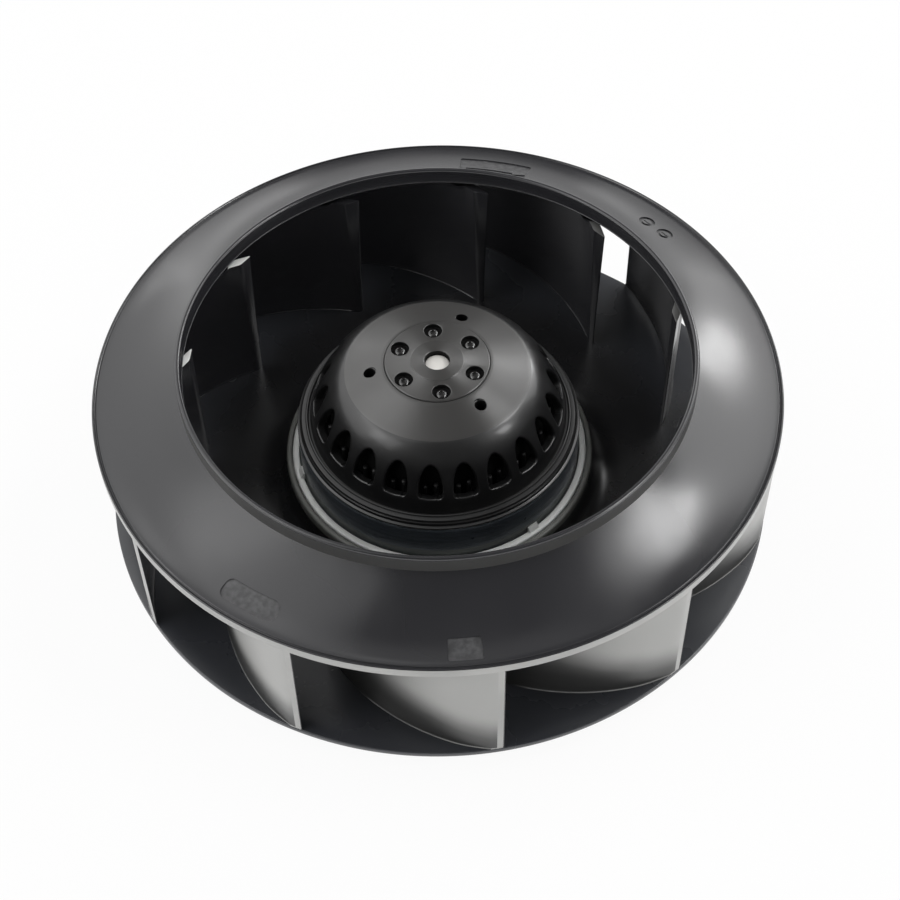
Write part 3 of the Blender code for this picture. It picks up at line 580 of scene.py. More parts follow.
# Painted highlight: a pale grey line on the bell's lower lip.
LIP_HIGHLIGHT_PAINT = grained(
    "bell_lip_painted_highlight", (0.10, 0.105, 0.105), (0.18, 0.185, 0.18), (0.28, 0.38), 0.01
)
PLATED = finish(  # zinc plate with slight mottling
    "plated_steel",
    (90.0, 5.0, (0.93, 0.95, 0.92), (0.97, 0.98, 0.96)),
    (240.0, 5.0, 0.34, 0.46),
    (900.0, 3.0, 0.002, 0.5),
    metallic=0.1,
)
BRIGHT = bright_steel()
SAWN = grained("sawn_steel", (0.74, 0.72, 0.68), (0.86, 0.84, 0.80), (0.45, 0.6), 0.01)
ROTOR_STEEL = layered_steel(
    "rotor_steel", (0.055, 0.068, 0.082), (0.10, 0.118, 0.138), (0.26, 0.38), 0.4
)
# Painted light: paler grey steel low on the rotor band and on the ring's shelf, which lie in shade.
STEEL_PAINTED_LIGHT = grained(
    "steel_painted_light", (0.075, 0.085, 0.085), (0.12, 0.13, 0.125), (0.34, 0.46), 0.01
)
STATOR_STEEL = layered_steel("stator_steel", (0.22, 0.23, 0.25), (0.36, 0.37, 0.39), (0.36, 0.5))
CAST = finish(  # die-cast aluminium with a slightly open skin
    "cast_aluminium",
    (60.0, 6.0, (0.50, 0.51, 0.52), (0.66, 0.67, 0.68)),
    (200.0, 5.0, 0.40, 0.56),
    (350.0, 6.0, 0.04, 0.6),
    metallic=0.9,
)
COPPER = wound_copper()
CREAM = grained("insulator_plastic", (0.70, 0.66, 0.53), (0.82, 0.78, 0.64), (0.42, 0.55))
BLACK_PLASTIC = grained("black_plastic", (0.02,) * 3, (0.035,) * 3, (0.4, 0.55))
RUBBER = grained("rubber", (0.012,) * 3, (0.024,) * 3, (0.6, 0.75), 0.03)
BRASS = grained(
    "ball_cage", (0.55, 0.40, 0.16), (0.74, 0.58, 0.28), (0.28, 0.4), 0.005, metallic=0.9
)

# Shroud
def shroud_share(radius):
    """How far up the trumpet a radius lies, from 0 at the rim to 1 at the collar's foot."""
    return max(IMPELLER_R - radius, 0.0) / (IMPELLER_R - FOOT_R)


def shroud_top(radius):
    return RIM_TOP_Z + (FOOT_Z - RIM_TOP_Z) * shroud_share(radius) ** TRUMPET_POWER


def shroud_slope(radius):
    rise = (FOOT_Z - RIM_TOP_Z) / (IMPELLER_R - FOOT_R)
    return -rise * TRUMPET_POWER * shroud_share(radius) ** (TRUMPET_POWER - 1)


def shroud_under(radius):
    return shroud_top(radius) - SHROUD_WALL * math.hypot(1.0, shroud_slope(radius))


def shroud_profile():
    edge, round_top = 0.45, 0.88
    profile = arc((COLLAR_BORE_R + round_top, TOP_Z - round_top), round_top, 180, 90, 8)
    profile += arc((COLLAR_R - round_top, TOP_Z - round_top), round_top, 90, 0, 8)
    profile += [(COLLAR_R, TOP_Z - 2.5), (COLLAR_R, shroud_top(COLLAR_R))]
    profile += [(r, shroud_top(r)) for r in steps_between(COLLAR_R + 0.4, FLAT_R, 32)]
    start, flat = (FLAT_R, shroud_top(FLAT_R)), RIM_TOP_Z + 0.2
    groove, half = GROOVE_R, 0.38
    brim = groove - half - 0.2
    profile += bezier([start, (FLAT_R + 0.7, start[1] - 0.13), (brim - 1.0, flat), (brim, flat)], 8)
    profile += arc((brim, flat - 0.2), 0.2, 80, 20, 4)
    profile += [(groove - 0.1, flat - GROOVE_DEPTH), (groove + 0.1, flat - GROOVE_DEPTH)]
    profile += arc((groove + half + 0.2, flat - 0.2), 0.2, 160, 100, 4)
    profile += arc((IMPELLER_R - edge, flat - edge), edge, 90, 0, 6)
    low = RIM_BOTTOM_Z - RIM_HANG
    profile += arc((IMPELLER_R - 0.3, low + 0.3), 0.3, 0, -90, 4)
    profile += [(IMPELLER_R - 1.3, low), (IMPELLER_R - 1.7, shroud_under(BAND_R) - 0.1)]
    profile += [(r, shroud_under(r)) for r in steps_between(BAND_R - 0.4, FOOT_R + 0.6, 22)]
    lip = 0.18
    profile += [(COLLAR_BORE_R + lip + 0.5, COLLAR_FOOT_Z - 0.3)]
    profile += arc((COLLAR_BORE_R + 0.02, COLLAR_FOOT_Z + lip), lip, -110, -250, 8)
    profile += [(COLLAR_BORE_R, COLLAR_FOOT_Z + 2 * lip + 0.06)]
    return profile


def on_shroud(angle, radius, along, outward, lift):
    """A point on the shroud near (angle, radius), moved along, outwards and off it."""
    r = radius + outward
    slope = shroud_slope(r)
    size = math.hypot(1.0, slope)
    turn = math.radians(angle) + along / radius
    r_lifted = r - slope / size * lift
    return r_lifted * math.cos(turn), r_lifted * math.sin(turn), shroud_top(r) + lift / size


def slab(angle, radius, columns, low, high, rows=6):
    """A closed sheet that follows the shroud. Each column is (along, inner edge, outer edge)."""

    def build(bm):
        layers = []
        for lift in (low, high):
            grid = []
            for along, start, end in columns:
                outs = steps_between(start, end, rows)
                points = [on_shroud(angle, radius, along, out, lift) for out in outs]
                grid.append([corner(bm, *point) for point in points])
            layers.append(grid)
        count = len(columns)
        for grid in layers:
            for i in range(count - 1):
                for j in range(rows):
                    bm.faces.new((grid[i][j], grid[i + 1][j], grid[i + 1][j + 1], grid[i][j + 1]))
        bottom, top = layers
        rim = [(i, 0) for i in range(count)] + [(count - 1, j) for j in range(1, rows + 1)]
        rim += [(i, rows) for i in range(count - 2, -1, -1)]
        rim += [(0, j) for j in range(rows - 1, 0, -1)]
        for (a, b), (c, d) in zip(rim, rim[1:] + rim[:1]):
            bm.faces.new((bottom[a][b], bottom[c][d], top[c][d], top[a][b]))

    return build


def rounded_columns(length, width, radius, steps=28):
    """Columns of a rectangle with round corners, centred on the mark."""
    half, side = length / 2, width / 2
    alongs = [half - radius + radius * math.sin(math.radians(a)) for a in range(0, 91, 15)]
    middle = steps_between(radius - half, half - radius, steps)[1:-1]
    alongs = [-a for a in reversed(alongs)] + middle + alongs
    columns = []
    for along in alongs:
        over = max(abs(along) - (half - radius), 0.0)
        inset = radius - math.sqrt(max(radius**2 - over**2, 0.0))
        reach_out = max(side - inset, 0.02)
        columns.append((along, -reach_out, reach_out))
    return columns


def disc_columns(radius, steps=18):
    columns = []
    for step in range(steps + 1):
        along, out = polar(radius, 180.0 - 180.0 * step / steps)
        columns.append((along, -max(out, 0.02), max(out, 0.02)))
    return columns


def arrow_columns(length, half_width, head_length, head_half):
    """A straight arrow that points along the rim, clockwise seen from the inlet."""
    end = length / 2
    columns = [(-end, -0.02, 0.02)]
    for i in range(1, 7):
        columns.append((-end + head_length * i / 6, -head_half * i / 6, head_half * i / 6))
    columns += [(-end + head_length + 0.02, -half_width, half_width)]
    shaft = steps_between(-end + head_length + 0.1, end, 10)
    columns += [(along, -half_width, half_width) for along in shaft]
    return columns


ARROW_FIELD = (77.6, 96.3)  # angle and radius of the middle of each mark
ARROW_PLACE = (77.0, 94.6)
DIAL_PLACES = ((42.6, 98.2), (37.9, 98.6))
LEFT_PATCH = (-122.6, 102.0)
FRONT_PATCH = (-86.1, 103.6)
MARK_DEPTH = 0.32
DIAL_DEPTH = MARK_DEPTH + 0.15
DIAL_R = 2.8
CUT_TOP = 1.0  # how far a mark's cutter stands out of the shroud
FIELD_SINK = 0.2  # a face that lies deeper than this is a mark's floor


def shroud():
    profile, slot = shroud_profile(), "impeller_plastic"
    obj = turned("shroud_surface", profile, PLASTIC, ["impeller_shroud"])
    columns = rounded_columns(24.0, 10.4, 0.6)
    cut(obj, "arrow_field", slab(*ARROW_FIELD, columns, -MARK_DEPTH, CUT_TOP))
    for number, place in enumerate(DIAL_PLACES):
        cut(obj, f"dial_field_{number}", slab(*place, disc_columns(DIAL_R), -DIAL_DEPTH, CUT_TOP))
    columns = rounded_columns(19.5, 6.4, 2.4)
    cut(obj, "left_field", slab(*LEFT_PATCH, columns, -MARK_DEPTH, CUT_TOP))
    columns = rounded_columns(10.0, 6.6, 0.5)
    cut(obj, "front_field", slab(*FRONT_PATCH, columns, -MARK_DEPTH, CUT_TOP))

    def choose(centre, radius, up):
        # The rim's outer face: pale, a painted reflection.
        if radius > IMPELLER_R - 0.2 and centre.z < RIM_TOP_Z:
            return 1
        # The collar's outer wall: paler, painted light.
        if abs(radius - COLLAR_R) < 0.12 and centre.z < TOP_Z - 0.8:
            return 3
        sunk = FIELD_SINK < shroud_top(radius) - centre.z < 0.8
        return 2 if sunk and radius < FLAT_R + 1.0 and up > 0.7 else 0

    paint(obj, (RIM_FACE, ERODED, COLLAR_PAINTED_LIGHT), choose)
    base, proud = -MARK_DEPTH - 0.2, 0.02
    arrow = slab(*ARROW_PLACE, arrow_columns(21.0, 0.35, 4.4, 1.5), base, proud, rows=2)
    piece("rotation_arrow", arrow, PLASTIC)
    for number, (angle, radius) in enumerate(DIAL_PLACES):
        hub = slab(angle, radius, disc_columns(1.55), base, -0.06)
        piece(f"dial_{number + 1}", hub, PLASTIC)
        hand = slab(angle, radius, arrow_columns(2.5, 0.2, 0.9, 0.55), base, 0.1, rows=2)
        piece(f"dial_hand_{number + 1}", hand, PLASTIC)


# Backplate and blades


def backplate():
    edge = 0.45
    profile = arc((IMPELLER_R - edge, PLATE_LOW_Z + edge), edge, -90, 0, 4)
    profile += arc((IMPELLER_R - edge, PLATE_TOP_Z - edge), edge, 0, 90, 4)
    profile += [(r, PLATE_TOP_Z) for r in (105.0, 95.0, 85.0, 75.0, 67.0)]
    foot, head = (HUB_FOOT_R, PLATE_TOP_Z), (HUB_R, HUB_TOP_Z - 1.5)
    curve = [foot, (53.4, PLATE_TOP_Z + 0.3), (51.2, PLATE_TOP_Z + 3.6), head]
    profile += [foot] + bezier(curve, 16)
    profile += arc((HUB_R - 0.85, HUB_TOP_Z - 0.85), 0.85, 0, 90, 6)
    profile += [(HUB_BORE_R + 0.3, HUB_TOP_Z), (HUB_BORE_R, HUB_TOP_Z - 0.3)]
    profile += [(HUB_BORE_R, PLATE_LOW_Z)]
    profile += [(60.0, PLATE_LOW_Z), (60.4, PLATE_LOW_Z + 0.35), (61.6, PLATE_LOW_Z + 0.35)]
    profile += [(62.0, PLATE_LOW_Z), (100.0, PLATE_LOW_Z)]
    nodes = ["impeller_backplate"]
    obj = turned("backplate_surface", profile, PLATE_PLASTIC, nodes)

    def choose(centre, radius, _):
        # The rim's lower edge: pale, a painted reflection.
        if radius > IMPELLER_R - 0.35 and centre.z < PLATE_LOW_Z + 0.5:
            return 2
        # The hub round the bore: pale grey, painted light.
        return radius < HUB_R + 1.0 and centre.z > HUB_TOP_Z - 3.5

    paint(obj, (HUB_PLASTIC, RIM_FACE), choose)


class BladeCurve:
    """The arc that one blade follows, seen from above."""

    def __init__(self, angle):
        start = Vector(polar(LEADING_R, angle - BLADE_SWEEP))
        end = Vector(polar(TRAILING_R, angle))
        self.chord = (end - start).length
        self.along = (end - start) / self.chord
        self.out = Vector((self.along.y, -self.along.x))
        self.bend = (self.chord**2 / 4 + BLADE_SAGITTA**2) / (2 * BLADE_SAGITTA)
        self.centre = (start + end) / 2 - self.out * (self.bend - BLADE_SAGITTA)
        self.half = math.asin(self.chord / 2 / self.bend)
        self.length = 2 * self.half * self.bend

    def place(self, distance, side):
        """The point at a distance from the leading edge, moved sideways, outwards if positive."""
        turn = self.half * (2 * distance / self.length - 1)
        radial = self.along * math.sin(turn) + self.out * math.cos(turn)
        return self.centre + radial * (self.bend + side)


def ease(value, start, end):
    share = min(max((value - start) / (end - start), 0.0), 1.0)
    return share * share * (3 - 2 * share)


NOSE_ROUND = 0.8
TAIL_RUN = 1.6  # a blade's curve runs on past the circle that cuts it


def blade_half(distance, length, height):
    """Half the thickness: thin at the tail, and at the nose thin below and thick at the top."""
    share = (height - PLATE_TOP_Z) / (LEDGE_Z - PLATE_TOP_Z)
    near_nose = 1 - ease(distance, 2.0, 28.0)
    nose = 0.6 + 0.85 * share
    half = BLADE_HALF + (nose - BLADE_HALF) * near_nose
    half -= 0.65 * ease(distance, length - 14.0, length)
    bend = min(NOSE_ROUND, 0.85 * half)
    if distance < bend:
        half -= bend - math.sqrt(bend**2 - (bend - distance) ** 2)
    return half


def blade_point(curve, distance, side):
    """A point of the blade; near the nose the slices turn to lie along the inlet's circle."""
    turn = 1 - ease(distance, 0.0, 11.0)
    return curve.place(distance + turn * (1.0 - 1.5 * side), side)


def within_rim(point):
    """(x, y, radius), pulled in to the circle on which the trailing edges are cut."""
    inward = min(TRAILING_R / point.length, 1.0)
    return point.x * inward, point.y * inward, point.length * inward


def blade_section(curve, distance):
    """One closed slice: up the outer side, over the top and down the inner side."""
    low = PLATE_TOP_Z - 0.2
    bead = BEAD * ease(distance, 0.3, 3.0)
    middle = blade_point(curve, distance, 0.0).length
    joined = ease(middle, LEDGE_R, FOOT_R + 1.0)
    flare = FLARE * joined
    foot = [(bead, low), (bead, PLATE_TOP_Z + 0.18)]
    foot += [(bead * 0.4, PLATE_TOP_Z + 0.42), (0.0, PLATE_TOP_Z + 0.75)]
    foot += [(0.0, z) for z in (18.0, 28.0, 38.0, 48.0)]
    drops = [(0.0, 2.6), (0.06, 1.7), (0.22, 1.05), (0.5, 0.55), (1.0, -0.15)]
    sides = []
    for sign in (1, -1):
        points = []
        for more, height in foot:
            half = blade_half(distance, curve.length, height)
            x, y, _ = within_rim(blade_point(curve, distance, sign * (half + more)))
            points.append((x, y, height))
        half = blade_half(distance, curve.length, LEDGE_Z)
        for grow, drop in drops:
            x, y, radius = within_rim(blade_point(curve, distance, sign * (half + flare * grow)))
            joined_z = shroud_under(min(max(radius, FOOT_R), BAND_R)) - drop
            free_z = LEDGE_Z - max(drop, 0.0) * 0.12
            points.append((x, y, free_z + (joined_z - free_z) * joined))
        if joined < 1.0:
            x, y = blade_point(curve, distance, sign * (half - 0.2))
            top = points[-1]
            points[-1] = (x + (top[0] - x) * joined, y + (top[1] - y) * joined, top[2])
        sides.append(points[::sign])
    return sides[0] + sides[1]


# Painted highlights on some blades' ledge tops: near white on some, a dimmer grey on others
LEDGE_HIGHLIGHTS = {10: LEDGE_BRIGHT_HIGHLIGHT, 9: LEDGE_BRIGHT_HIGHLIGHT, 6: LEDGE_DIM_HIGHLIGHT, 5: LEDGE_DIM_HIGHLIGHT}


def blades():
    for number, angle in enumerate(spaced(BLADE_COUNT, TRAILING_ANGLE), start=1):
        curve = BladeCurve(angle)
        stops = [0.0, 0.04, 0.12, 0.24, 0.4, 0.6, 0.8]
        stops += steps_between(1.3, 7.0, 12) + steps_between(8.2, curve.length - 0.35, 34)
        stops += steps_between(curve.length, curve.length + TAIL_RUN, 8)
        sections = [blade_section(curve, stop) for stop in stops]
        name = f"blade_{number:02d}"
        build = lambda bm, rows=sections: loft(bm, rows)
        obj = piece(f"{name}_surface", build, PLASTIC, nodes=[name])

        def choose(centre, radius, up):
            side = (centre.xy - curve.centre).length - curve.bend
            # Ledge tops: a painted highlight on some blades.
            if radius < LEDGE_R + 0.5 and up > 0.6 and centre.z > LEDGE_Z - 1.0:
                return 3
            # Tail end faces: pale, a painted reflection.
            if radius > TRAILING_R - 0.03:
                return 2
            # The weld bead along the foot: a painted highlight.
            if side > 0.3 and centre.z < PLATE_TOP_Z + 0.3:
                return 4
            return side > 0.3 and radius > LEADING_R + 3.0

        paint(obj, (BLADE_FACE, RIM_FACE, LEDGE_HIGHLIGHTS.get(number, PLASTIC), SEAM), choose)


# Rotor: plated ring, steel band, bell, hub, rivets and shaft


TAB_ANGLES = (-165.0, -50.5, 69.0)
TAB_STEPS = ((46.35, 21.6, 24.1), (46.8, 21.2, 24.2), (47.8, 20.4, 22.6))  # radius, low, high
TAB_HALF = 1.8
SEAT_BORE_R = 39.0


def rotor_ring():
    bore, floor = 46.75, 1.4
    shelf_z = SEAT_TOP_Z - 0.9
    profile = [(SEAT_BORE_R, SEAT_FLOOR_Z)]
    profile += arc((SEAT_R - 0.5, SEAT_FLOOR_Z + 0.5), 0.5, -90, 0, 4)
    profile += arc((SEAT_R - 0.7, SEAT_TOP_Z - 0.7), 0.7, 0, 70, 6)
    profile += arc((bore + 0.3, SEAT_TOP_Z - 0.3), 0.3, 80, 180, 5)
    profile += [(bore, shelf_z + 0.1), (bore - 0.1, shelf_z)]
    profile += [(ROTOR_R + 0.04, shelf_z), (ROTOR_R + 0.04, SEAT_FLOOR_Z + floor)]
    profile += [(SEAT_BORE_R, SEAT_FLOOR_Z + floor)]

    def build(bm):
        revolve(bm, profile, COLUMNS)
        for angle in TAB_ANGLES:
            sections = []
            for radius, low, high in TAB_STEPS:
                outline = []
                ux, uy = polar(1.0, angle)
                half = TAB_HALF
                for side, height in ((-half, low), (half, low), (half, high), (-half, high)):
                    outline.append((radius * ux - side * uy, radius * uy + side * ux, height))
                sections.append(outline)
            loft(bm, sections)

    obj = piece("seat_ring_surface", build, PLATED, nodes=["hub_seat_ring"])

    def on_shelf(centre, radius, _):
        return ROTOR_R < radius < bore - 0.02 and centre.z < shelf_z + 0.1

    # The shelf in the ring's gap: paler grey, painted light.
    paint(obj, [STEEL_PAINTED_LIGHT], on_shelf)


def steel_band():
    bore = 34.6
    profile = [(bore, STACK_LOW_Z), (ROTOR_R - 0.3, STACK_LOW_Z), (ROTOR_R, STACK_LOW_Z + 0.3)]
    layers = steps_between(STACK_LOW_Z + 0.6, STACK_TOP_Z - 0.6, 20)
    for low, high in zip(layers, layers[1:]):
        profile += [(ROTOR_R, low), (ROTOR_R, high - 0.12), (ROTOR_R - 0.05, high - 0.06)]
    profile += [(ROTOR_R, STACK_TOP_Z - 0.3), (ROTOR_R - 0.3, STACK_TOP_Z), (bore, STACK_TOP_Z)]
    nodes = ["rotor_laminations"]
    obj = turned("rotor_band_surface", profile, ROTOR_STEEL, nodes)
    # The band's lower part: paler grey, painted light.
    paint(obj, [STEEL_PAINTED_LIGHT], lambda centre, *_: centre.z < SEAT_TOP_Z + 2.6)


FLANK_FOOT = (41.5, 41.2)
FLANK = [FLANK_FOOT, (40.5, 47.0), (35.4, 56.6), (FACE_R, FACE_EDGE_Z)]
SECTOR_COLUMNS = COLUMNS // VENT_COUNT
VENT_SILL = 3.2  # distances up the flank from its foot
VENT_TOP = 14.8
VENT_FRAME_TOP = 16.6
VENT_HALF = 3.95


class Flank:
    """The bell's curved side, measured by the distance up from its foot."""

    def __init__(self):
        self.points = [FLANK_FOOT] + bezier(FLANK, 120)
        self.marks = [0.0]
        for a, b in zip(self.points, self.points[1:]):
            self.marks.append(self.marks[-1] + math.dist(a, b))

    def at(self, distance, depth=0.0):
        """(radius, height) at a distance from the foot, sunk by a depth."""
        distance = min(max(distance, 0.0), self.marks[-1])
        i = next(k for k in range(1, len(self.marks)) if self.marks[k] >= distance)
        a, b = self.points[i - 1], self.points[i]
        share = (distance - self.marks[i - 1]) / (self.marks[i] - self.marks[i - 1])
        tr, tz = b[0] - a[0], b[1] - a[1]
        size = math.hypot(tr, tz)
        return a[0] + tr * share - tz / size * depth, a[1] + tz * share + tr / size * depth


def vent_outline(grow):
    """The arch of one vent as (sideways, up) points: a round-cornered sill and half an ellipse."""
    half, sill, top = VENT_HALF + grow, VENT_SILL - grow, VENT_TOP + grow
    corner_r = 1.5 + grow
    spring = sill + 4.2
    flat = half - corner_r
    points = []
    for step in range(SECTOR_COLUMNS):
        share = -1 + 2 * step / SECTOR_COLUMNS
        points.append((flat * share, sill + 0.25 * share * share))
    turns = [polar(corner_r, a) for a in (-90, -60, -30)]
    right = [(flat + dx, sill + corner_r + dy) for dx, dy in turns]
    right += [(half, sill + corner_r), (half - 0.02, (sill + corner_r + spring) / 2)]
    over = []
    count = SECTOR_COLUMNS + 10
    for i in range(count + 1):
        turn = math.radians(180.0 * i / count)
        pinch = 1 - 0.14 * math.sin(turn)
        rise = (top - spring) * math.sin(turn)
        over.append(((half - 0.1) * math.cos(turn) * pinch, spring + rise))
    left = [(-w, v) for w, v in reversed(right[1:])]
    return points + right + over + left


def vent_frame(total):
    """The sector's outline round one vent as (share of its half width, up) points."""
    side_steps = (total - 2 * SECTOR_COLUMNS) // 2
    points = [(-1 + 2 * i / SECTOR_COLUMNS, 0.0) for i in range(SECTOR_COLUMNS)]
    points += [(1.0, VENT_FRAME_TOP * i / side_steps) for i in range(side_steps)]
    points += [(1 - 2 * i / SECTOR_COLUMNS, VENT_FRAME_TOP) for i in range(SECTOR_COLUMNS)]
    points += [(-1.0, VENT_FRAME_TOP * (1 - i / side_steps)) for i in range(side_steps)]
    return points


def vent_sector(bm, flank, angle):
    """The flank round one vent, with its rounded lip, its wall and the inner skin."""
    lip = 0.55
    total = len(vent_outline(lip))
    half_angle = 180.0 / VENT_COUNT

    def spot(sideways_angle, up, depth):
        radius, height = flank.at(up, depth)
        return (*polar(radius, angle + sideways_angle), height)

    def as_angle(w, up):
        return math.degrees(w / flank.at(up)[0])

    def between(one, other, share):
        return [(a + (c - a) * share, b + (d - b) * share) for (a, b), (c, d) in zip(one, other)]

    def arch(grow):
        return [(as_angle(w, v), v) for w, v in vent_outline(grow)]

    border = [(share * half_angle, up) for share, up in vent_frame(total)]
    rows = [(between(border, arch(lip), k / 5), 0.0) for k in range(6)]
    for turn in (22.5, 45.0, 67.5, 90.0):
        inward, rise = polar(lip, 90.0 - turn)
        rows.append((arch(lip - inward), lip - rise))
    rows += [(arch(0.0), depth) for depth in (1.2, 2.0, BELL_WALL)]
    rows += [(between(arch(0.0), border, share), BELL_WALL) for share in (0.5, 1.0)]
    loft(bm, [[spot(a, up, depth) for a, up in row] for row, depth in rows], capped=False)


def bell_foot():
    """The rim below the vents: a lip, a step, a ridge and two grooves."""
    low = BELL_LOW_Z
    foot = [(35.6, 39.4), (35.6, low), (ROTOR_R - 0.3, low)]
    foot += [(ROTOR_R - 0.08, low + 0.08), (ROTOR_R, low + 0.3)]
    foot += [(ROTOR_R, low + 0.5), (ROTOR_R - 0.12, low + 0.7), (ROTOR_R - 0.5, low + 0.8)]
    foot += [(45.45, low + 0.95), (45.35, low + 1.2), (45.25, low + 1.9), (45.05, low + 2.05)]
    foot += [(44.9, low + 2.2), (44.86, low + 2.7), (44.7, low + 2.9), (44.3, low + 2.95)]
    foot += [(43.5, low + 3.0), (43.35, low + 3.15), (43.2, low + 3.4)]
    foot += [(42.95, low + 3.45), (42.7, low + 3.3)]
    return foot + [(42.45, low + 2.9), (42.1, low + 2.9), (41.95, low + 3.4), (41.85, low + 4.3)]


PINS = ((1.7, 36.0, 46.6), (-1.8, 36.2, 45.8))  # sideways, radius and top


def bell_pins(bm):
    """Small cast pins behind each vent."""
    for angle in spaced(VENT_COUNT, VENT_ANGLE):
        for sideways, radius, top in PINS:
            x, y = polar(radius, angle + math.degrees(sideways / radius))
            pin = [(0, 40.0), (0.95, 40.0), (0.85, top - 0.35)]
            pin += [(0.6, top - 0.08), (0.3, top), (0, top)]
            revolve(bm, pin, 16, (x, y))


def bell():
    flank = Flank()
    start = VENT_ANGLE - 180.0 / VENT_COUNT
    length = flank.marks[-1]
    crown = [flank.at(d) for d in steps_between(VENT_FRAME_TOP, length - 0.35, 6)]
    face_start = (FACE_R - 0.3, FACE_EDGE_Z + 0.14)
    face_end = (DISC_SEAT_R + 0.4, BELL_TOP_Z + FACE_LIFT)
    face = [flank.at(length - 0.1), face_start]
    face += bezier([face_start, (25.6, 60.65), (21.2, 62.05), face_end], 12)
    seat = [(DISC_SEAT_R + 0.1, face_end[1] - 0.06), (DISC_SEAT_R, face_end[1] - 0.3)]
    seat += [(DISC_SEAT_R, 60.6)]
    inner = [(7.9, 60.6), (7.9, 58.0), (22.0, 58.0)]
    inner += [(28.6, 57.0), flank.at(VENT_FRAME_TOP, BELL_WALL)]

    def build(bm):
        for angle in spaced(VENT_COUNT, VENT_ANGLE):
            vent_sector(bm, flank, angle)
        low = [flank.at(0.0, BELL_WALL)] + bell_foot() + [flank.at(0.0)]
        revolve(bm, low, COLUMNS, closed=False, start=start)
        revolve(bm, crown + face + seat + inner, COLUMNS, closed=False, start=start)
        bmesh.ops.remove_doubles(bm, verts=bm.verts, dist=0.004 * MM)

    obj = piece("bell_surface", build, PAINT, nodes=["rotor_bell"])
    holes = [polar(FACE_HOLE_PITCH_R, angle) for angle in FACE_HOLE_ANGLES]
    cut(obj, "face_holes", sunk_rods(holes, FACE_HOLE_R - 0.05, floor=55.0, top=61.95, lip=0.2))

    def choose(centre, radius, up):
        # The bell's lower lip: pale grey, a painted highlight.
        if radius > ROTOR_R - 0.32 and centre.z < BELL_LOW_Z + 0.32 and up > -0.9:
            return 2
        return radius < FACE_R - 0.3 and centre.z > FACE_EDGE_Z + 0.15 and up > 0.6

    paint(obj, (FACE_PAINT, LIP_HIGHLIGHT_PAINT), choose)
    piece("bell_pins", bell_pins, PAINT)
    # A dark wall behind the vents, painted shade that hides the winding inside.
    wall = [(35.3, STACK_TOP_Z), (35.3, 41.0), (34.6, 47.0), (32.4, 52.0)]
    wall += [(28.4, 55.6), (26.5, 56.6), (26.0, 56.6)]
    wall += [(27.4, 55.1), (31.6, 51.6), (33.8, 46.8), (34.7, 41.0), (34.7, STACK_TOP_Z)]
    turned("vent_shade_wall", wall, SHADE_PAINT, segments=180)


def sunk_rods(places, radius, floor, top, lip, segments=48):
    """Round cutters with a rounded lip at their top."""

    def build(bm):
        for place in places:
            outline = [(0, floor), (radius - 0.15, floor), (radius, floor + 0.15)]
            turns = [polar(lip, angle) for angle in (0, 22.5, 45, 67.5, 90)]
            outline += [(radius + lip - r, top - lip + z) for r, z in turns]
            outline += [(radius + lip, top + 2.0), (0, top + 2.0)]
            revolve(bm, outline, segments, place)

    return build


def rivet_places():
    return [polar(RIVET_PITCH_R, angle) for angle in spaced(RIVET_COUNT, RIVET_ANGLE)]


def hub():
    edge = 0.4
    bore = SHAFT_R + 0.05
    profile = [(bore, HUB_LOW_Z), (6.0, HUB_LOW_Z), (6.0, 55.0)]
    profile += [(7.6, 55.0), (7.6, 60.9), (DISC_R, 60.9)]
    profile += arc((DISC_R - edge, DISC_TOP_Z - edge), edge, 0, 90, 6)
    profile += [(BOSS_R + 0.2, DISC_TOP_Z), (BOSS_R, DISC_TOP_Z + 0.12)]
    profile += arc((BOSS_R - 0.32, BOSS_TOP_Z - 0.32), 0.32, 10, 90, 5)
    profile += arc((bore + 0.3, BOSS_TOP_Z - 0.3), 0.3, 90, 180, 5)
    nodes = ["rotor_hub"]
    obj = turned("hub_surface", profile, FACE_PAINT, nodes, segments=192)
    cut(obj, "wells", sunk_rods(rivet_places(), WELL_R + 0.05, WELL_FLOOR_Z, DISC_TOP_Z, lip=0.18))

    def in_well(centre, radius, _):
        return centre.z < DISC_TOP_Z - 0.2 and radius < DISC_R - 0.5

    # The wells and the bore: painted shade.
    paint(obj, [SHADE_PAINT], in_well)
    head_z = WELL_FLOOR_Z
    head_r = 2.0
    outline = [(0, head_z - 1.0), (head_r - 0.2, head_z - 1.0), (head_r, head_z + 0.1)]
    dome = [polar(1.0, angle) for angle in (14, 28, 42, 54)]
    outline += [(r * head_r, head_z + 0.1 + z) for r, z in dome]
    outline += [(1.05, head_z + 0.93), (0.92, head_z + 0.82)]
    outline += [(0.8, head_z + 0.4), (0, head_z + 0.3)]
    for number, place in enumerate(rivet_places(), start=1):
        build = lambda bm, at=place: revolve(bm, outline, 40, at)
        nodes = [f"hub_rivet_{number}"]
        piece(f"rivet_{number}_head", build, RIVET_PAINT, nodes=nodes)


def shaft_end():
    top = SHAFT_TOP_Z
    profile = [(0, SHAFT_LOW_Z), (3.6, SHAFT_LOW_Z), (SHAFT_R, SHAFT_LOW_Z + 0.4)]
    profile += [(SHAFT_R, top - 0.35), (SHAFT_R - 0.35, top), (0, top)]
    obj = turned("shaft_surface", profile, BRIGHT, ["rotor_shaft"], segments=96)
    paint(obj, [SAWN], lambda centre, *_: centre.z > top - 0.3)


# Stator


CABLE_PLACE = (21.0, 0.0)
SCREW_COUNT = 4
SCREW_PITCH_R = 33.0
THREAD_PITCH = 0.5
THREAD_ROOT_R = 1.95
THREAD_CREST_R = 1.65


